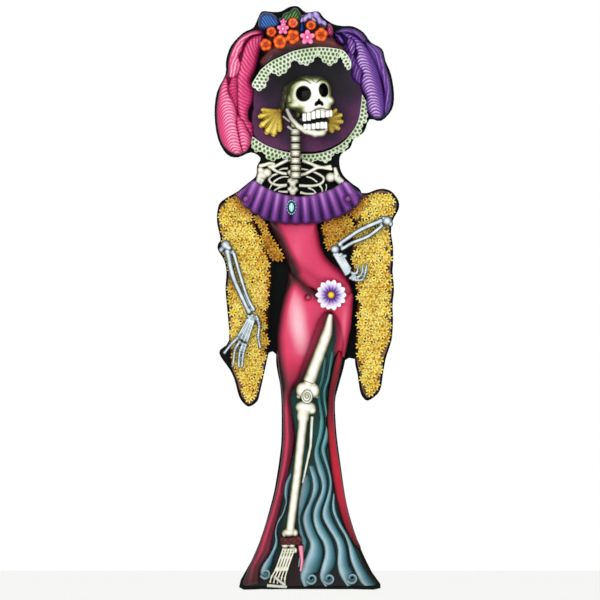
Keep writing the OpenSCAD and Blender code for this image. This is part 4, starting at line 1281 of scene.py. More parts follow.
for edge, colours, slant in LEAVES:
    leaf = build_up("leaf", edge, 36, 58, edge=8, cell=1.0)

    def veined(spots, normal, colours=colours, slant=slant):
        vein = 0.5 + 0.5 * np.sin((spots[:, 0] + slant * spots[:, 1]) * 1.1 + 0.8 * streaks(spots, 9))
        # painted shade where the leaf turns away from the front
        t = np.clip(painted_front_light(normal) ** 2 * (0.12 + 0.88 * vein), 0, 1)
        return blend_colours(t, (0.0, colours[0]), (0.6, colours[1]), (1.0, colours[2]))

    paint(leaf, veined)
    parts.append(leaf)
fit(joined(parts, "hat_leaves_modelled"), "root", "hat_leaves", LEAF_PAINT)

petals = pulp("hat_petals_modelled", [
    ball(-13, 1146, 54, 6, 9, 6, -25), ball(-4, 1151, 54, 6, 8, 6, 10), ball(8, 1152, 56, 7, 9, 6, 35),
    ball(15, 1141, 55, 6, 8, 6, 10), ball(24, 1136, 55, 5, 7, 5, 30), ball(4, 1144, 52, 6, 8, 5),
    ball(-20, 1143, 52, 4, 7, 5, -20),
], cell=0.9, rounds=1)
# the petals get painted shade where they turn away from the front
settle(petals, "root", "hat_petals", LEAF_PAINT, lambda spots, normal: blend_colours(
    painted_front_light(normal) ** 1.5 * (0.85 + 0.15 * streaks(spots, 4)),
    (0.0, "#281850"), (0.45, "#6c4c9c"), (0.8, "#b0a0d4"), (1.0, "#e6e0f2"),
))

# ---------------------------------------------------------------------------
# Flowers piled on the hat: orange cups with painted highlights in yellow on their lips, a
# red-orange rose, and pink five-petalled flowers with bead centres. Every petal is a pressed
# lump of paper pulp.
ORANGE_PAINT = varnished_paint("varnished_orange_paint_on_paper_pulp", brush_mm=1.2, unevenness=0.08)


def cup_flower(x, up, wide, high, back=50, deep=18, turn=0.0):
    """A cup of two rings of petals round a throat that is painted dark as painted shade."""
    lumps = [ball(x, up, back + 0.42 * deep, wide * 0.86, high * 0.86, deep * 0.45)]
    for i in range(5):
        a = math.radians(turn + 72 * i + 18)
        lumps.append(ball(x + 0.56 * wide * math.cos(a), up + 0.56 * high * math.sin(a), back + 0.6 * deep,
                          0.56 * wide, 0.4 * high, 0.4 * deep, math.degrees(a) + 90))
    for i in range(3):
        a = math.radians(turn + 120 * i + 90)
        lumps.append(ball(x + 0.24 * wide * math.cos(a), up + 0.24 * high * math.sin(a), back + 0.8 * deep,
                          0.3 * wide, 0.26 * high, 0.3 * deep, math.degrees(a) + 90))
    return lumps


TULIPS = [(-92, 1093, 13, 14, 10), (-81, 1119, 11, 12, 50), (-64, 1099, 15, 16, 0), (-38, 1109, 14, 17, 30),
          (18, 1113, 14, 16, 70), (-2, 1132, 12, 11, 20)]
lumps = sum([cup_flower(x, up, w, h, turn=t) for x, up, w, h, t in TULIPS], [])
tulips = pulp("hat_tulips_modelled", lumps, cell=0.8, rounds=1)


def cup_colour(spots, normal):
    best = np.full(len(spots), 9.0)
    for x, up, w, h, _ in TULIPS:
        best = np.minimum(best, np.hypot((spots[:, 0] - x) / w, (spots[:, 1] - up) / h))
    # painted shade in the throat and where petals turn away, painted highlight in yellow on the lips
    lit = np.clip(painted_front_light(normal) ** 1.6 * (0.35 + 0.75 * best) + 0.08 * streaks(spots, 5), 0, 1)
    return blend_colours(
        lit, (0.0, "#3a0c04"), (0.3, "#982404"), (0.58, "#d8480a"), (0.8, "#f07c18"), (0.93, "#f8b040"),
        (1.0, "#fde080"),
    )


settle(tulips, "root", "hat_tulips", ORANGE_PAINT, cup_colour)
rose = pulp("hat_rose_modelled", cup_flower(-38, 1137, 12, 12, deep=16, turn=40), cell=0.7, rounds=1)
# the rose gets painted shade where it turns away from the front
settle(rose, "root", "hat_rose", ORANGE_PAINT, lambda spots, normal: blend_colours(
    painted_front_light(normal) ** 1.8 + 0.1 * streaks(spots, 4),
    (0.0, "#380804"), (0.4, "#9a2410"), (0.75, "#d84a24"), (1.0, "#f08450"),
))

PINK_HEADS = [(-58, 1125, 12), (-9, 1108, 15), (-57, 1138, 7)]
lumps = []
for x, up, r in PINK_HEADS:
    for i in range(5):
        a = math.radians(72 * i + 90)
        lumps.append(ball(x + 0.58 * r * math.cos(a), up + 0.58 * r * math.sin(a), 62, 0.46 * r, 0.36 * r, 3,
                          math.degrees(a)))
    lumps.append(ball(x, up, 64, 0.2 * r, 0.2 * r, 3))
    lumps.append(rod((x, up, 50), (x, up, 62), 0.5 * r, 0.4 * r))
pinks = pulp("hat_pink_flowers_modelled", lumps, cell=0.6, rounds=1)


def pink_colour(spots, normal):
    best = np.full(len(spots), 9.0)
    for x, up, r in PINK_HEADS:
        best = np.minimum(best, np.hypot(spots[:, 0] - x, spots[:, 1] - up) / r)
    # painted shade toward each flower's middle and where the petals turn away
    t = np.clip(painted_front_light(normal) * (0.3 + 0.8 * best), 0, 1)
    petal = blend_colours(t, (0.0, "#7c0c38"), (0.3, "#d03478"), (0.6, "#f060a0"), (1.0, "#fcaaca"))
    eye = (best < 0.19)[:, None]
    return np.where(eye, linear("#fbe6e0"), petal)


settle(pinks, "root", "hat_pink_flowers", LEAF_PAINT, pink_colour)

# ---------------------------------------------------------------------------
# Skull: a plain anatomical skull in paper pulp, turned a little to the figure's left. It is
# bone white with painted shade in olive-grey toward its left side, its crown, its outline and
# the eye sockets' rims, and its sockets are painted black.
SOCKETS = [((-17, 995), 14.6, 15, 0), ((23, 1002), 9.0, 13.5, 8), ((9.5, 975.5), 3.6, 5.8, -38),
           ((18.5, 976), 3.4, 5.8, 38), ((14, 979), 3.0, 6.0, 0)]
BROWS = [[[-43, 1009], [-34, 1017], [-22, 1020], [-11, 1018], [-3, 1012]],
         [[9, 1014], [15, 1019], [22, 1021], [30, 1019], [35, 1013]]]
SKULL_MIDDLE = 62
EYE_DEEP, NOSE_DEEP = 24, 10
CRACK = np.array([[-1, 1026], [2, 1021], [4, 1018]], float)
TOOTH_ROOT_SHADE = np.array([[-4, 957], [2, 960], [8, 964], [14, 965.5], [20, 966], [28, 963.5], [38, 964.5]], float)
skull = pulp("skull_cranium_modelled", [
    ball(-8, 992, 62, 42, 40, 42), ball(-36, 998, 52, 15, 24, 30), ball(8, 1000, 72, 31, 31, 30),
    ball(-12, 985, 78, 30, 26, 22), ball(-34, 972, 78, 18, 9, 16), ball(-46, 984, 70, 6, 12, 14),
    ball(12, 975, 80, 27, 18, 21), ball(36, 981, 76, 9, 9, 14), ball(-4, 962, 76, 20, 11, 20),
    ball(24, 963, 78, 16, 9, 19), ball(14, 986, 90, 8, 12, 12), ball(-50, 1004, 46, 8, 9, 12),
    ball(-53, 988, 46, 8, 12, 12), ball(-57, 973, 46, 6, 10, 10), ball(-27, 956, 60, 6, 10, 10),
    rod((-60, 998, 48), (-50, 993, 50), 2.6, 3), rod((-62, 980, 46), (-56, 966, 46), 3, 4),
], cell=1.1, rounds=4)
spots, _ = places_of(skull)


def socket_reach(spots, centre, wide, high, turn):
    """1 at a socket's edge, less inside it."""
    a = math.radians(turn)
    x, up = spots[:, 0] - centre[0], spots[:, 1] - centre[1]
    return np.hypot((x * math.cos(a) + up * math.sin(a)) / wide, (-x * math.sin(a) + up * math.cos(a)) / high)


for centre, wide, high, turn in SOCKETS:
    reach = socket_reach(spots, centre, wide, high, turn)
    deep = EYE_DEEP if wide > 6 else NOSE_DEEP
    front = spots[:, 2] > SKULL_MIDDLE
    spots[front, 2] -= deep * np.clip((1.08 - reach[front]) / 0.22, 0, 1)
for brow in BROWS:
    front = spots[:, 2] > SKULL_MIDDLE
    ridge = gap_to(open_line(brow), spots[front, :2], closed=False)
    groove = gap_to(open_line(brow) + [0, 4.6], spots[front, :2], closed=False)
    spots[front, 2] += 2.6 * np.exp(-((ridge / 3.2) ** 2)) - 1.8 * np.exp(-((groove / 1.6) ** 2))
move_to(skull, spots)
SKULL_LINE = smooth([
    [-52, 990], [-48, 1008], [-38, 1022], [-20, 1030], [0, 1032], [18, 1028], [32, 1018], [37, 1004],
    [44, 990], [47, 980], [42, 970], [39, 958], [20, 956], [0, 950], [-20, 952], [-24, 962],
    [-42, 962], [-52, 974],
])


def skull_colour(spots, normal):
    """White in front, with painted shade in olive toward the crown, the temple and the outline, black in the
    sockets.
    """
    # painted shade toward the outline, the left side and the crown, and where the surface turns away
    edge = np.clip(gap_to(SKULL_LINE, spots[:, :2]) / 15, 0, 1) * within(SKULL_LINE, spots[:, :2])
    side = np.clip((spots[:, 0] + 52) / 40, 0, 1)
    crown = np.clip((1036 - spots[:, 1]) / 22, 0, 1)
    t = np.clip(0.02 + 0.5 * edge + 0.48 * painted_front_light(normal) ** 2 - 0.34 * (1 - side) - 0.36 * (1 - crown), 0, 1)
    colour = blend_colours(
        t + 0.05 * streaks(spots, 9), (0.0, "#2c3014"), (0.25, "#5f6a38"), (0.48, "#b4b88c"),
        (0.68, "#eceedd"), (0.85, "#fbfcf4"), (1.0, "#ffffff"),
    )
    # painted shade in the groove above each brow
    for brow in BROWS:
        above = gap_to(open_line(brow) + [0, 3.2], spots[:, :2], closed=False)
        colour *= (1 - 0.62 * np.exp(-((above / 1.5) ** 2)))[:, None]
    crack = np.exp(-((gap_to(CRACK, spots[:, :2], closed=False) / 1.2) ** 2))
    # a dark brown line painted as shade along the tops of the upper teeth
    tooth_root_shade = np.exp(-((gap_to(TOOTH_ROOT_SHADE, spots[:, :2], closed=False) / 2.0) ** 2))
    colour = colour * (1 - 0.85 * crack[:, None]) + 0.85 * crack[:, None] * linear("#3a4630")
    colour = colour * (1 - 0.9 * tooth_root_shade[:, None]) + 0.9 * tooth_root_shade[:, None] * linear("#4a2a1c")
    for centre, wide, high, turn in SOCKETS:
        reach = socket_reach(spots, centre, wide, high, turn)
        # painted shade in olive-grey round the rims of the eye sockets
        rim = np.clip((1.3 - reach) / 0.3, 0, 1)[:, None] * (0.4 if wide > 6 else 0.0)
        dark = np.clip((1.06 - reach) / 0.1, 0, 1)[:, None] * (spots[:, 2] > 40)[:, None]
        colour = colour * (1 - rim) + rim * linear("#a3a67c")
        colour = colour * (1 - dark) + dark * linear("#070b07")
    return colour


settle(skull, "root", "skull_cranium", BONE_PAINT, skull_colour)

# ---------------------------------------------------------------------------
# Teeth: thirteen square-shouldered pegs of pulp, polished white, in two rows.
ENAMEL = varnished_paint("polished_white_tooth_enamel_paint", brush_mm=1.5, unevenness=0.03, coat=0.3)


def peg(x, low, high, out, wide):
    """One tooth: a cube drawn out and rounded over."""
    bpy.ops.mesh.primitive_cube_add(size=1, location=place(x, (low + high) / 2, out))
    bpy.context.object.scale = (wide * MM, 13 * MM, (high - low) * MM)
    bpy.ops.object.transform_apply(location=False, rotation=False, scale=True)
    modify(bpy.context.object, "BEVEL", width=2.6 * MM, segments=4)
    return bpy.context.object


def tooth_row(name, pegs, node_name):
    deselect()
    row = joined([peg(*p) for p in pegs], name)
    bpy.ops.object.shade_smooth()
    modify(row, "SUBSURF", levels=1, render_levels=1)
    spots, _ = places_of(row)
    centres = np.array([p[0] for p in pegs], float)

    def tooth_colour(spots, normal):
        # painted shade between the teeth and where they turn away from the front
        gap = np.min(np.abs(spots[:, :1] - centres), axis=1)
        t = np.clip(1.35 - gap / 4.6, 0, 1) * (0.35 + 0.65 * painted_front_light(normal))
        return blend_colours(t, (0.0, "#3c3c30"), (0.3, "#9c9c8c"), (0.6, "#eeeee6"), (1.0, "#ffffff"))

    settle(row, "root", node_name, ENAMEL, tooth_colour)


tooth_row("upper_teeth_modelled", [
    (-15, 940, 956, 87, 9.4), (-6.2, 941, 958, 88, 9.4), (2.8, 944, 960.5, 88.5, 9.6),
    (12, 946, 963, 89, 9.9), (21.4, 947, 963.4, 89, 9.9), (30.2, 948, 962, 88, 9.2),
    (37.4, 949, 962.4, 87, 6.8),
], "upper_teeth")
tooth_row("lower_teeth_modelled", [
    (-13.5, 924, 935, 86, 8), (-6, 923, 935, 87, 8.8), (3, 924, 936, 88, 9.9), (11.6, 925, 938, 88.5, 9.4),
    (20, 925, 939, 88, 9), (27, 925, 939, 87, 7.2),
], "lower_teeth")

# ---------------------------------------------------------------------------
# Jaw: one curved bar of pulp hung from the temple, with the chin forward, and a throat behind
# the teeth painted black as painted shade. Two thin bones run down behind it to the neck.
jaw = pulp("jaw_modelled", [
    rod((-49, 962, 72), (-41, 945, 74), 4.6, 5), rod((-41, 945, 74), (-28, 931, 77), 5, 6.2),
    rod((-28, 931, 77), (-12, 921, 79), 6.2, 7.5), rod((-12, 921, 79), (6, 917, 80), 7.5, 9),
    rod((6, 917, 80), (20, 918, 80), 9, 9), ball(-49, 963, 72, 4.8), ball(-41, 945, 74, 5),
    ball(-28, 931, 77, 6.2), ball(-12, 921, 79, 7.5), ball(6, 917, 80, 10, 10.5, 9.5),
    ball(19, 919, 80, 10, 10, 9), ball(27, 926, 79, 5.5, 8, 7), ball(2, 940, 66, 33, 16, 8),
    rod((-58, 951, 44), (-44, 940, 46), 2.6, 2.8), rod((-49, 931, 40), (-36, 921, 42), 3.2, 3),
], cell=1.0, rounds=2)
TOOTH_FOOT_SHADE = np.array([[3, 925], [10, 922.5], [18, 922.5], [28, 926]], float)


def jaw_colour(spots, normal):
    colour = bone_colour(spots, normal)
    # painted shade along the jaw's lower edge and toward its left end
    low = np.clip((spots[:, 1] - 905) / 9, 0.35, 1)[:, None]
    left = np.clip((spots[:, 0] + 56) / 26, 0.55, 1)[:, None]
    # a dark brown line painted as shade under the lower teeth
    lip = np.exp(-((gap_to(TOOTH_FOOT_SHADE, spots[:, :2], closed=False) / 1.9) ** 2)) * (spots[:, 2] > 80)
    lip = lip[:, None]
    colour = colour * np.maximum(low * left, 0.3)
    colour = colour * (1 - 0.9 * lip) + 0.9 * lip * linear("#32180e")
    # the throat behind the teeth is painted near black as painted shade
    throat = ((spots[:, 2] < 74.5) & (spots[:, 1] > 926) & (spots[:, 0] > -36))[:, None]
    return np.where(throat, linear("#050605"), colour)


settle(jaw, "root", "jaw", BONE_PAINT, jaw_colour)

# ---------------------------------------------------------------------------
# Earrings: two gilded shells, each a fan of rounded ribs under a small round hinge.
GILT_PAINT = varnished_paint("varnished_gold_paint_on_paper_pulp", brush_mm=1.5, coat=0.3, roughness=0.4)


def shell(name, hinge, tips, out, node_name, reach):
    lumps = [ball(*hinge, out + 2, 5.5, 5.5, 5)]
    for x, up, wide in tips:
        way = np.array([x - hinge[0], up - hinge[1]])
        end = np.array([x, up]) - way / np.hypot(*way) * wide * 0.8
        lumps.append(rod((*hinge, out), (*end, out), 3.4, wide * 0.96, 16))
        lumps.append(ball(*end, out, wide, wide, wide * 0.9))
        lip = np.array([x, up]) - way / np.hypot(*way) * 1.0
        turn = math.degrees(math.atan2(way[1], way[0])) + 90
        lumps.append(ball(*lip, out + 1, wide * 0.72, wide * 0.55, 3.4, turn))
    piece = pulp(name, lumps, cell=0.8, rounds=1)

    def gilt(spots, normal):
        gap = np.hypot(spots[:, 0] - hinge[0], spots[:, 1] - hinge[1]) / reach
        # painted shade near the hinge and where the ribs turn away, painted highlight toward their ends
        lit = painted_front_light(normal) ** 2.2 * (0.45 + 0.6 * np.clip(gap, 0, 1))
        t = np.clip(lit + 0.06 * streaks(spots, 4), 0, 1)
        return blend_colours(
            t, (0.0, "#2a1c04"), (0.2, "#6e5008"), (0.45, "#8a6c12"), (0.7, "#c4a42c"), (1.0, "#f2e070"),
        )

    settle(piece, "root", node_name, GILT_PAINT, gilt)


shell("left_earring_modelled", (-64, 962), [
    (-101, 964, 5.5), (-106, 950, 7), (-103, 931, 7.5), (-91, 917, 8), (-77, 913, 8), (-64, 922, 7),
], 27, "left_earring", 44)
shell("right_earring_modelled", (28, 944), [
    (49, 965, 5.5), (59, 954, 6.5), (61, 940, 6.5), (54, 926, 7), (41, 920, 7),
], 27, "right_earring", 34)

# ---------------------------------------------------------------------------
# Neck bones: eight spool-shaped blocks threaded one below the other.
NECK_TOP = 934
NECK_STEP = 14.4
lumps = []
for i in range(8):
    up = NECK_TOP - NECK_STEP * i
    wide = 11.5 if i < 6 else 12
    lumps += [ball(-33, up + 4.2, 36, wide, 3.4, wide), ball(-33, up - 4.2, 36, wide, 3.4, wide)]
    lumps.append(rod((-33, up + 5, 36), (-33, up - 5, 36), wide * 0.86, wide * 0.86))


def neck_colour(spots, normal):
    """White blocks with dark joints between them, and painted shade in grey-green at their lower sides."""
    row = np.abs(((NECK_TOP - spots[:, 1]) / NECK_STEP + 0.5) % 1.0 - 0.5) * 2
    joint = np.clip((row - 0.72) / 0.22, 0, 1)
    colour = bone_colour(spots, normal)
    # painted shade on the lower part of each block
    low = np.clip(((spots[:, 1] - NECK_TOP) / NECK_STEP + 0.5) % 1.0 * 3, 0.55, 1)
    return colour * (low * (1 - 0.9 * joint))[:, None]


bone("neck_vertebrae", lumps, "root", neck_colour, cell=1.0, rounds=2)

# ---------------------------------------------------------------------------
# Chest: collarbones, shoulder bones, thin ribs bent forward from the neck, and a breastbone
# of three heart-shaped blocks.


def bent(points, out, thin, end=None):
    """A long thin bone that follows a line."""
    line = even_line(points, 3 * len(points))
    lumps = []
    for i, (a, b) in enumerate(zip(line[:-1], line[1:])):
        t0, t1 = i / (len(line) - 1), (i + 1) / (len(line) - 1)
        r0 = thin + ((end or thin) - thin) * t0
        r1 = thin + ((end or thin) - thin) * t1
        lumps += [rod((*a, out), (*b, out), r0, r1, 12), ball(*b, out, r1)]
    return lumps


bone("clavicles", [
    *bent([[-47, 864], [-60, 858], [-74, 851], [-84, 849]], 21, 4.2, 3.4),
    *bent([[-74, 855], [-84, 857], [-94, 854], [-103, 852]], 22, 3.6, 4.6),
    *bent([[-50, 836], [-62, 838], [-74, 843], [-84, 850], [-92, 855]], 20, 3.8, 3.4),
    *bent([[-20, 863], [-6, 858], [8, 852], [22, 849], [36, 851]], 21, 4.2, 3.8),
    *bent([[-28, 834], [-14, 836], [0, 843], [14, 849], [38, 846]], 22, 4.0, 4.0),
], "root", cell=0.9, rounds=1)

bone("shoulder_bones", [
    ball(-90, 838, 21, 10, 10, 8), ball(-103, 843, 20, 7, 8, 7), ball(-97, 832, 20, 9, 8, 7),
    rod((-102, 842, 19), (-108, 816, 19), 6, 6), rod((-95, 832, 19), (-104, 815, 19), 6, 4),
    ball(37, 829, 22, 10.5, 10.5, 8), rod((46, 846, 20), (50, 832, 20), 4, 6),
    rod((44, 832, 19), (58, 818, 19), 8, 6), rod((52, 828, 19), (62, 819, 19), 6, 5),
    ball(46, 846, 20, 4.2),
], "root", cell=1.0, rounds=3)

RIBS = [
    ([[-50, 814], [-66, 813], [-80, 817], [-86, 825], [-80, 832], [-70, 836]], 3.6, 2.8),
    ([[-77, 820], [-68, 826], [-58, 830], [-48, 830]], 2.4, 2.0),
    ([[-48, 847], [-60, 846], [-68, 842]], 2.6, 2.0), ([[-48, 800], [-58, 800], [-66, 801]], 3.4, 2.2),
    ([[-52, 812], [-64, 809], [-75, 803]], 2.6, 2.0), ([[-80, 815], [-84, 808], [-87, 802]], 2.2, 1.6),
    ([[-26, 813], [-8, 812], [8, 813], [20, 818], [24, 827], [16, 834], [4, 840]], 3.8, 2.8),
    ([[-12, 831], [0, 827], [10, 820]], 2.6, 1.8), ([[-22, 846], [-10, 844], [2, 840]], 3.0, 2.0),
    ([[-24, 799], [-12, 796], [4, 796]], 3.8, 2.4), ([[-8, 808], [2, 804], [8, 798]], 2.4, 1.8),
    ([[16, 812], [20, 806], [21, 799]], 2.8, 2.0), ([[28, 816], [29, 808], [27, 802]], 1.8, 1.4),
]
bone("ribs", sum([bent(p, 17, a, b) for p, a, b in RIBS], []), "root", cell=0.8, rounds=1)

STERNUM_FOOT = 802
STERNUM_STEP = 17
lumps = []
for i in (2, 1, 0):
    up = STERNUM_FOOT + STERNUM_STEP * i
    lumps += [
        ball(-44, up + 3, 19, 6, 6, 6), ball(-33, up + 3, 19, 6, 6, 6), ball(-38.5, up - 3, 19, 7, 8, 6),
        ball(-47, up + 1, 18, 3.6), ball(-30, up + 1, 18, 3.6),
    ]


def breastbone_colour(spots, normal):
    """White, with painted shade in the cleft at the top of each block."""
    height = ((spots[:, 1] - STERNUM_FOOT) / STERNUM_STEP + 0.45) % 1
    cleft = np.exp(-(((spots[:, 0] + 38.5) / 1.4) ** 2)) * np.clip(height * 3 - 1.9, 0, 1)
    return bone_colour(spots, normal) * (1 - 0.6 * cleft)[:, None]


bone("sternum", lumps, "root", breastbone_colour, cell=0.9, rounds=2)

# ---------------------------------------------------------------------------
# Collar: a wide cape of paper folded into pleats that fan out from behind the skull, violet
# with painted highlights in lilac on the folds. Its lower edge is scalloped, one lobe to a pleat.
PLEAT_CENTRE = np.array([-30.0, 990.0])
PLEATS = 14
PLEAT_FROM, PLEAT_TO = math.radians(-33), math.radians(37)
COLLAR_TOP = [[-150, 797], [-134, 810], [-117, 823], [-99, 812], [-80, 803], [-60, 796], [-40, 792],
              [-20, 791], [0, 794], [20, 800], [40, 806], [67, 821], [84, 808], [102, 795]]
COLLAR_LOW = even_line([[102, 795], [94, 778], [84, 767], [62, 753], [46, 748], [20, 739], [-6, 737],
                        [-36, 736], [-64, 738], [-92, 744], [-116, 758], [-134, 771], [-150, 794]], 160)


def fan(spots):
    """Each spot's angle under the pleats' centre, counted in pleats."""
    angle = np.arctan2(spots[:, 0] - PLEAT_CENTRE[0], PLEAT_CENTRE[1] - spots[:, 1])
    return (angle - PLEAT_FROM) / (PLEAT_TO - PLEAT_FROM) * PLEATS


way = COLLAR_LOW - PLEAT_CENTRE
way /= np.hypot(*way.T)[:, None]
lobes = COLLAR_LOW + way * (2.6 * np.abs(np.sin(math.pi * fan(COLLAR_LOW))) - 1.0)[:, None]
collar_line = np.vstack([even_line(COLLAR_TOP, 80), lobes[1:-1]])
SHOULDERS = np.array([[-132.0, 786.0], [72.0, 786.0]])


def pleated(spots, gap):
    wave = np.sin(math.pi * (fan(spots[:, :2]) % 1.0)) ** 0.7
    reach = np.hypot(*(spots[:, :2] - PLEAT_CENTRE).T)
    deep = np.clip((reach - 186) / 50, 0.25, 1)
    out = 39 + 13.5 * wave * deep * np.clip(gap / 6, 0.2, 1)
    for pin_at in SHOULDERS:
        pin_gap = np.hypot(*(spots[:, :2] - pin_at).T)
        out = np.minimum(out, 38 + 14 * np.clip((pin_gap - PIN_WELL) / 9, 0, 1))
    return out


collar = build_up("collar_modelled", None, COLLAR_BACK, 52, cell=1.5, line=collar_line, shape=pleated)


def collar_colour(spots, normal):
    """Painted highlight in lilac along each fold's left flank, painted shade in deep violet in the valleys,
    low down and along the edge.
    """
    turn = fan(spots[:, :2]) % 1.0
    flank = np.exp(-(((turn - 0.42) / 0.2) ** 2))
    drop = np.clip((np.hypot(*(spots[:, :2] - PLEAT_CENTRE).T) - 192) / 62, 0, 1)
    strong = 0.55 + 0.45 * np.sin(1.9 * np.floor(fan(spots[:, :2])) + 0.6) ** 2
    t = np.clip(0.34 + 0.5 * flank * strong * (1 - 0.8 * drop) - 0.18 * drop
                - 0.16 * np.exp(-((np.minimum(turn, 1 - turn) / 0.1) ** 2)), 0, 1)
    # painted shade along the collar's outline
    edge = np.clip(gap_to(collar_line, spots[:, :2]) / 3.5, 0.35, 1)
    return blend_colours(
        t, (0.0, "#1c0a34"), (0.2, "#562872"), (0.4, "#824298"), (0.62, "#aa6cba"), (0.85, "#c898d8"),
        (1.0, "#e2c2ec"),
    ) * edge[:, None]


COLLAR_PAINT = varnished_paint("varnished_violet_paint_on_folded_paper", brush_mm=4, unevenness=0.08)
settle(collar, "root", "collar", COLLAR_PAINT, collar_colour)

# ---------------------------------------------------------------------------
# Brooch: an oval aqua stone in a pierced setting of small beads, glued over the middle fold.
BROOCH = (-41, 769)
BEADS = 14
lumps = [ball(*BROOCH, 51, 9.5, 14.5, 2.6)]
for i in range(BEADS):
    a = 2 * math.pi * i / BEADS
    lumps.append(ball(BROOCH[0] + 8.6 * math.cos(a), BROOCH[1] + 13.4 * math.sin(a), 53, 1.9))
setting = pulp("brooch_setting_modelled", lumps, cell=0.5, rounds=1)


def setting_colour(spots, normal):
    """Pale aqua beads round a dark seat."""
    reach = np.hypot((spots[:, 0] - BROOCH[0]) / 9.4, (spots[:, 1] - BROOCH[1]) / 14)
    # painted shade where the beads turn away from the front
    return blend_colours(
        painted_front_light(normal) * np.clip(reach * 4 - 3, 0, 1),
        (0.0, "#06181c"), (0.5, "#4a8c98"), (1.0, "#bfe8ec"),
    )


settle(setting, "root", "brooch_setting", ENAMEL, setting_colour)
STONE_GLAZE = varnished_paint(
    "polished_aqua_glass_stone", brush_mm=2, unevenness=0.05, roughness=0.15, coat=1.0,
)
stone = pulp("brooch_stone_modelled", [
    ball(*BROOCH, 54, 5.4, 8.6, 4.4), ball(BROOCH[0], BROOCH[1] + 6.5, 55, 3.4, 2.6, 3),
    ball(BROOCH[0], BROOCH[1] - 6.5, 55, 3.4, 2.6, 3),
], cell=0.4, rounds=1)
# the stone gets painted shade where it turns away from the front, with lighter bands across it
settle(stone, "root", "brooch_stone", STONE_GLAZE, lambda spots, normal: blend_colours(
    painted_front_light(normal) ** 1.5 * (0.75 + 0.25 * np.cos((spots[:, 0] - BROOCH[0]) * 1.6)),
    (0.0, "#0c3c44"), (0.35, "#7cd0d0"), (0.7, "#bff0ec"), (1.0, "#f2fffe"),
))

# ---------------------------------------------------------------------------
# Boas: two thick garlands of small crimped paper flowers over padding painted dark ochre-brown
# as painted shade between them. Each little flower has seven narrow petals, yellow with pale
# tips and a burnt-orange throat, and they are set close together at every angle. Under the
# collar they are pressed flat and painted darker as painted shade.
FLORET_MM = 12.0
FLORET_PETALS = 7
PADDING = 5.5
# how fast red, green and blue fall off in the shade, which turns shaded yellow to ochre
OCHRE = np.array([0.55, 1.25, 2.2])
rng = np.random.default_rng(11)


def floret():
    """One flower of unit radius: its places, its faces, and each place's tone."""
    places, tones, faces = [(0.0, 0.0, 0.05)], [0.0], []
    for i in range(FLORET_PETALS):
        a = 2 * math.pi * i / FLORET_PETALS
        n = len(places)
        for r, w, high, tone in (
            (0.46, -0.20, 0.34, 0.55), (0.50, 0.0, 0.20, 0.30), (0.46, 0.20, 0.34, 0.55),
            (0.86, -0.15, 0.66, 0.95), (1.14, 0.0, 0.62, 0.85), (0.86, 0.15, 0.66, 0.95),
        ):
            places.append((r * math.cos(a) - w * math.sin(a), r * math.sin(a) + w * math.cos(a), high))
            tones.append(tone)
        faces += [(0, n, n + 1), (0, n + 1, n + 2), (n, n + 3, n + 4, n + 1), (n + 1, n + 4, n + 5, n + 2)]
    return np.array(places), faces, np.array(tones)


FLORET_PLACES, FLORET_FACES, FLORET_TONES = floret()
PETAL_YELLOW = varnished_paint(
    "varnished_yellow_paint_on_crimped_paper", brush_mm=1.5, unevenness=0.1, coat=0.25,
)
PIVOTS = {"left_wing": SHOULDERS[0], "right_wing": SHOULDERS[1]}


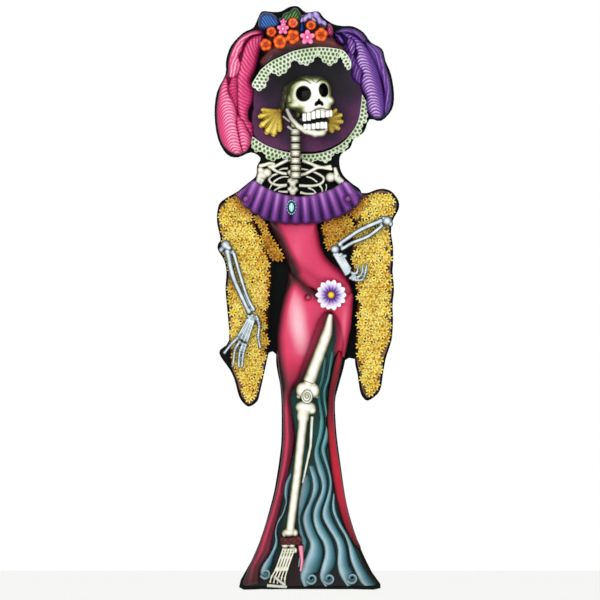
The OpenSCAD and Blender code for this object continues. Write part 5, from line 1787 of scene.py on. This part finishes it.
def garland(name, outline, body, node_name, dim, low_only=False, pale=0.0):
    """A padded shape covered with flowers; dim(spots) shades some of them."""
    line = smooth(outline)
    pivot = PIVOTS[body]

    def ceiling(spots):
        gap = np.hypot(*(spots[:, :2] - pivot).T)
        low = np.full(len(spots), 33.0)
        return low if low_only else 33 + 11.5 * np.clip((gap - 42) / 9, 0, 1)

    def padded(spots, gap):
        t = np.clip(gap / 16, 0, 1)
        top = ceiling(spots) - PADDING
        return 22 + (top - 22) * np.sqrt(1 - (1 - t) ** 2)

    pad = build_up(name, None, SWINGING_FRONT, 40, cell=2.4, line=line, shape=padded)
    # the padding between the flowers is painted dark ochre-brown as painted shade, darker still under the
    # collar
    paint(pad, lambda spots, normal: blend_colours(
        np.clip(0.4 + 0.5 * streaks(spots, 7), 0, 1), (0.0, "#2a1404"), (1.0, "#9a5a10"),
    ) * dim(spots)[:, None] ** OCHRE)
    low, high = line.min(0), line.max(0)
    sites = []
    for row, up in enumerate(np.arange(low[1], high[1], FLORET_MM * 0.8)):
        for x in np.arange(low[0] - FLORET_MM / 2 * (row % 2), high[0], FLORET_MM * 0.94):
            sites.append((x + rng.uniform(-1.8, 1.8), up + rng.uniform(-1.8, 1.8)))
    sites = np.array(sites)
    sites = sites[within(line, sites) & (gap_to(line, sites) > (2.0 if low_only else 4.5))]
    gap = gap_to(line, sites)
    tops = np.minimum(padded(sites, gap) + 0.6, ceiling(sites) - PADDING + 0.4)
    count = len(sites)
    size = rng.uniform(7.2, 9.6, count)
    turn = rng.uniform(0, 2 * math.pi, count)
    tilt = rng.uniform(-0.42, 0.42, (count, 2))
    unit = FLORET_PLACES
    x = unit[None, :, 0] * np.cos(turn)[:, None] - unit[None, :, 1] * np.sin(turn)[:, None]
    up = unit[None, :, 0] * np.sin(turn)[:, None] + unit[None, :, 1] * np.cos(turn)[:, None]
    out = unit[None, :, 2] * 0.8 + x * tilt[:, :1] + up * tilt[:, 1:]
    places = np.stack([sites[:, :1] + x * size[:, None], sites[:, 1:] + up * size[:, None],
                       tops[:, None] + out * size[:, None]], 2).reshape(-1, 3)
    places[:, 2] = np.minimum(places[:, 2], ceiling(places) - 0.2)
    places[:, 2] = np.maximum(places[:, 2], SWINGING_FRONT + 0.4)
    faces = [tuple(n + len(unit) * i for n in face) for i in range(count) for face in FLORET_FACES]
    flowers = from_places("flowers", places, faces)
    bpy.ops.object.shade_smooth()
    faded = np.repeat(rng.uniform(-0.22, 0.22, count), len(unit))
    tone = np.clip(0.08 + np.tile(FLORET_TONES, count) * 0.92 + faded, 0, 1)
    share = np.clip(tone + pale + 0.06, 0, 1)

    def petal(spots, normal):
        # painted shade under the collar and along the inner side, from dim
        return blend_colours(
            share, (0.0, "#7a3a06"), (0.2, "#d88a10"), (0.42, "#eec81c"), (0.7, "#fbe84c"), (1.0, "#fff8a8"),
        ) * dim(spots)[:, None] ** OCHRE

    paint(flowers, petal)
    fit(joined([pad, flowers], name), body, node_name, PETAL_YELLOW)


def under_collar(spots):
    """Painted shade: darker close under the collar's edge and along the inner side."""
    gap = gap_to(COLLAR_LOW, spots[:, :2], closed=False)
    side = 0.72 + 0.28 * np.clip((np.abs(spots[:, 0] + 20) - 66) / 26, 0, 1)
    return np.clip(0.35 + 0.65 * gap / 20, 0, 1) * side


garland("left_boa_modelled", [
    [-154, 794], [-134, 804], [-118, 796], [-113, 776], [-117, 746], [-102, 706], [-86, 664],
    [-82, 620], [-86, 575], [-88, 520], [-87, 496], [-92, 470], [-98, 440], [-108, 398],
    [-114, 384], [-125, 376], [-133, 382], [-142, 396], [-151, 427], [-160, 450], [-163, 500],
    [-165, 560], [-169, 605], [-167, 640], [-172, 666], [-183, 686], [-179, 706], [-186, 740],
    [-184, 766], [-176, 778],
], "left_wing", "left_boa", under_collar)
# the inner part of the left boa, behind the bodice, is painted darker as painted shade
garland("left_boa_inner_modelled", [
    [-112, 768], [-102, 764], [-94, 742], [-85, 722], [-76, 702], [-66, 682], [-60, 668],
    [-84, 664], [-100, 708], [-114, 744],
], "left_wing", "left_boa_inner", lambda spots: 0.55 * under_collar(spots) + 0.3,
    low_only=True, pale=-0.15)
garland("right_boa_modelled", [
    [88, 738], [104, 742], [124, 742], [142, 740], [153, 738], [155, 712], [158, 684],
    [158, 655], [157, 640], [160, 605], [157, 575], [158, 545], [156, 512], [151, 490],
    [143, 467], [137, 432], [134, 412], [127, 399], [112, 389], [106, 394], [100, 406],
    [95, 437], [90, 460], [88, 490], [89, 530], [90, 560], [89, 604], [84, 624], [80, 650],
    [79, 690],
], "right_wing", "right_boa", under_collar)
garland("right_boa_shoulder_modelled", [
    [58, 800], [74, 805], [94, 796], [112, 794], [130, 801], [144, 802], [157, 796],
    [168, 780], [168, 766], [158, 746], [142, 733], [122, 735], [104, 738], [86, 740],
    [70, 756], [54, 770], [52, 786],
], "right_wing", "right_boa_shoulder", under_collar)
# the inner part of the right boa, behind the bodice, is painted darker as painted shade
garland("right_boa_inner_modelled", [
    [19, 732], [21, 715], [26, 694], [36, 681], [47, 688], [61, 700], [74, 712], [82, 726],
    [80, 738], [66, 752], [46, 752], [28, 744],
], "right_wing", "right_boa_inner", lambda spots: 0.6 * under_collar(spots) + 0.25,
    low_only=True, pale=-0.12)

# ---------------------------------------------------------------------------
# Arms: elbow, two forearm bones and a hand on each side, of pulp over wire, painted a cooler
# blue-white than the skull. They lie on top of the boas and are glued to them.
COOL_BONE = varnished_paint("varnished_blue_white_paint_on_paper_pulp", unevenness=0.05)
ARM_OUT = 50


def cool_colour(spots, normal):
    # painted shade where the bone turns away from the front
    return blend_colours(
        np.clip(painted_front_light(normal) ** 1.2 + 0.05 * streaks(spots, 7), 0, 1),
        (0.0, "#060a0e"), (0.5, "#26323a"), (0.74, "#66767e"), (0.9, "#a2b2ba"), (1.0, "#e2eaee"),
    )


def chain(points, thin, knob, out=ARM_OUT, narrow=0.86):
    """A row of small bones from knuckle to knuckle, each a little thinner than the last."""
    lumps = []
    for a, b in zip(points[:-1], points[1:]):
        lumps += bone_rod((*a, out), (*b, out), thin, knob)
        thin, knob = thin * narrow, knob * narrow
    return lumps


def arm_bone(node_name, lumps, wing, cell=0.9):
    """One part of an arm, painted blue-white."""
    piece = pulp(node_name + "_modelled", lumps, cell=cell, rounds=1)
    settle(piece, wing, node_name, COOL_BONE, cool_colour)


arm_bone("left_elbow", [
    ball(-172, 694, 52, 10, 10, 6.5), ball(-181, 684, 51, 5.5, 6, 5), ball(-166, 688, 52, 7, 6, 6),
], "left_wing")
arm_bone("left_forearm", [
    *bent([[-168, 676], [-158, 632], [-141, 592], [-126, 560]], 51, 6.2, 5.0),
    *bent([[-156, 677], [-144, 635], [-130, 592], [-116, 564]], 50, 4.6, 4.0),
    ball(-169, 680, 51, 7, 8, 6), ball(-158, 680, 50, 5, 6, 5), ball(-126, 562, 51, 6, 7, 5),
    ball(-117, 566, 50, 5, 6, 5),
], "left_wing")
lumps = [ball(x, up, 50, 4.4, 4, 4) for x, up in (
    (-127, 552), (-119, 553), (-111, 551), (-125, 546), (-117, 546), (-122, 549))]
for start, knuckle, finger in (
    ((-128, 546), (-147, 512), [(-147, 510), (-162, 495), (-176, 477)]),
    ((-124, 545), (-142, 506), [(-143, 503), (-154, 486), (-156, 471), (-158, 452)]),
    ((-120, 544), (-136, 502), [(-137, 499), (-144, 481), (-146, 466), (-146, 449)]),
    ((-116, 543), (-130, 500), [(-131, 497), (-137, 479), (-139, 462), (-140, 450)]),
):
    lumps += chain([start, knuckle], 3.0, 3.6) + chain(finger, 3.5, 4.4)
lumps += chain([(-110, 549), (-105, 534), (-108, 510), (-103, 487)], 3.8, 5.0)
arm_bone("left_hand", lumps, "left_wing", cell=0.8)

arm_bone("right_elbow", [
    ball(150, 742, 52, 10, 10, 6.5), ball(157, 736, 51, 5, 6, 5), ball(143, 747, 51, 5, 5, 5),
], "right_wing")
arm_bone("right_forearm", [
    *bent([[140, 743], [100, 726], [76, 711], [55, 696]], 51, 5.6, 5.0),
    *bent([[140, 732], [112, 711], [82, 699], [60, 686]], 50, 4.6, 4.4),
    ball(137, 742, 51, 7, 6, 5.5), ball(139, 732, 50, 5, 5, 5), ball(56, 695, 51, 6, 6, 5),
], "right_wing")
lumps = [ball(46, 685, 51, 9.5, 9, 6), ball(58, 675, 50, 4.6, 4.4, 4.4), ball(66, 672, 50, 4.4, 4, 4.2),
         ball(51, 675, 50, 4.6, 4.4, 4.4)]
for start, knuckle, finger in (
    ((43, 677), (69, 633), [(74, 629), (85, 624), (96, 623), (103, 626)]),
    ((48, 676), (73, 635), [(78, 632), (89, 629), (97, 632), (101, 643), (100, 654)]),
    ((54, 675), (76, 639), [(78, 638), (88, 636), (92, 644), (88, 652)]),
    ((61, 672), (77, 645), [(103, 628), (107, 641), (109, 654)]),
):
    lumps += chain([start, knuckle], 3.3, 4.2) + chain(finger, 3.3, 4.1)
arm_bone("right_hand", lumps, "right_wing", cell=0.8)
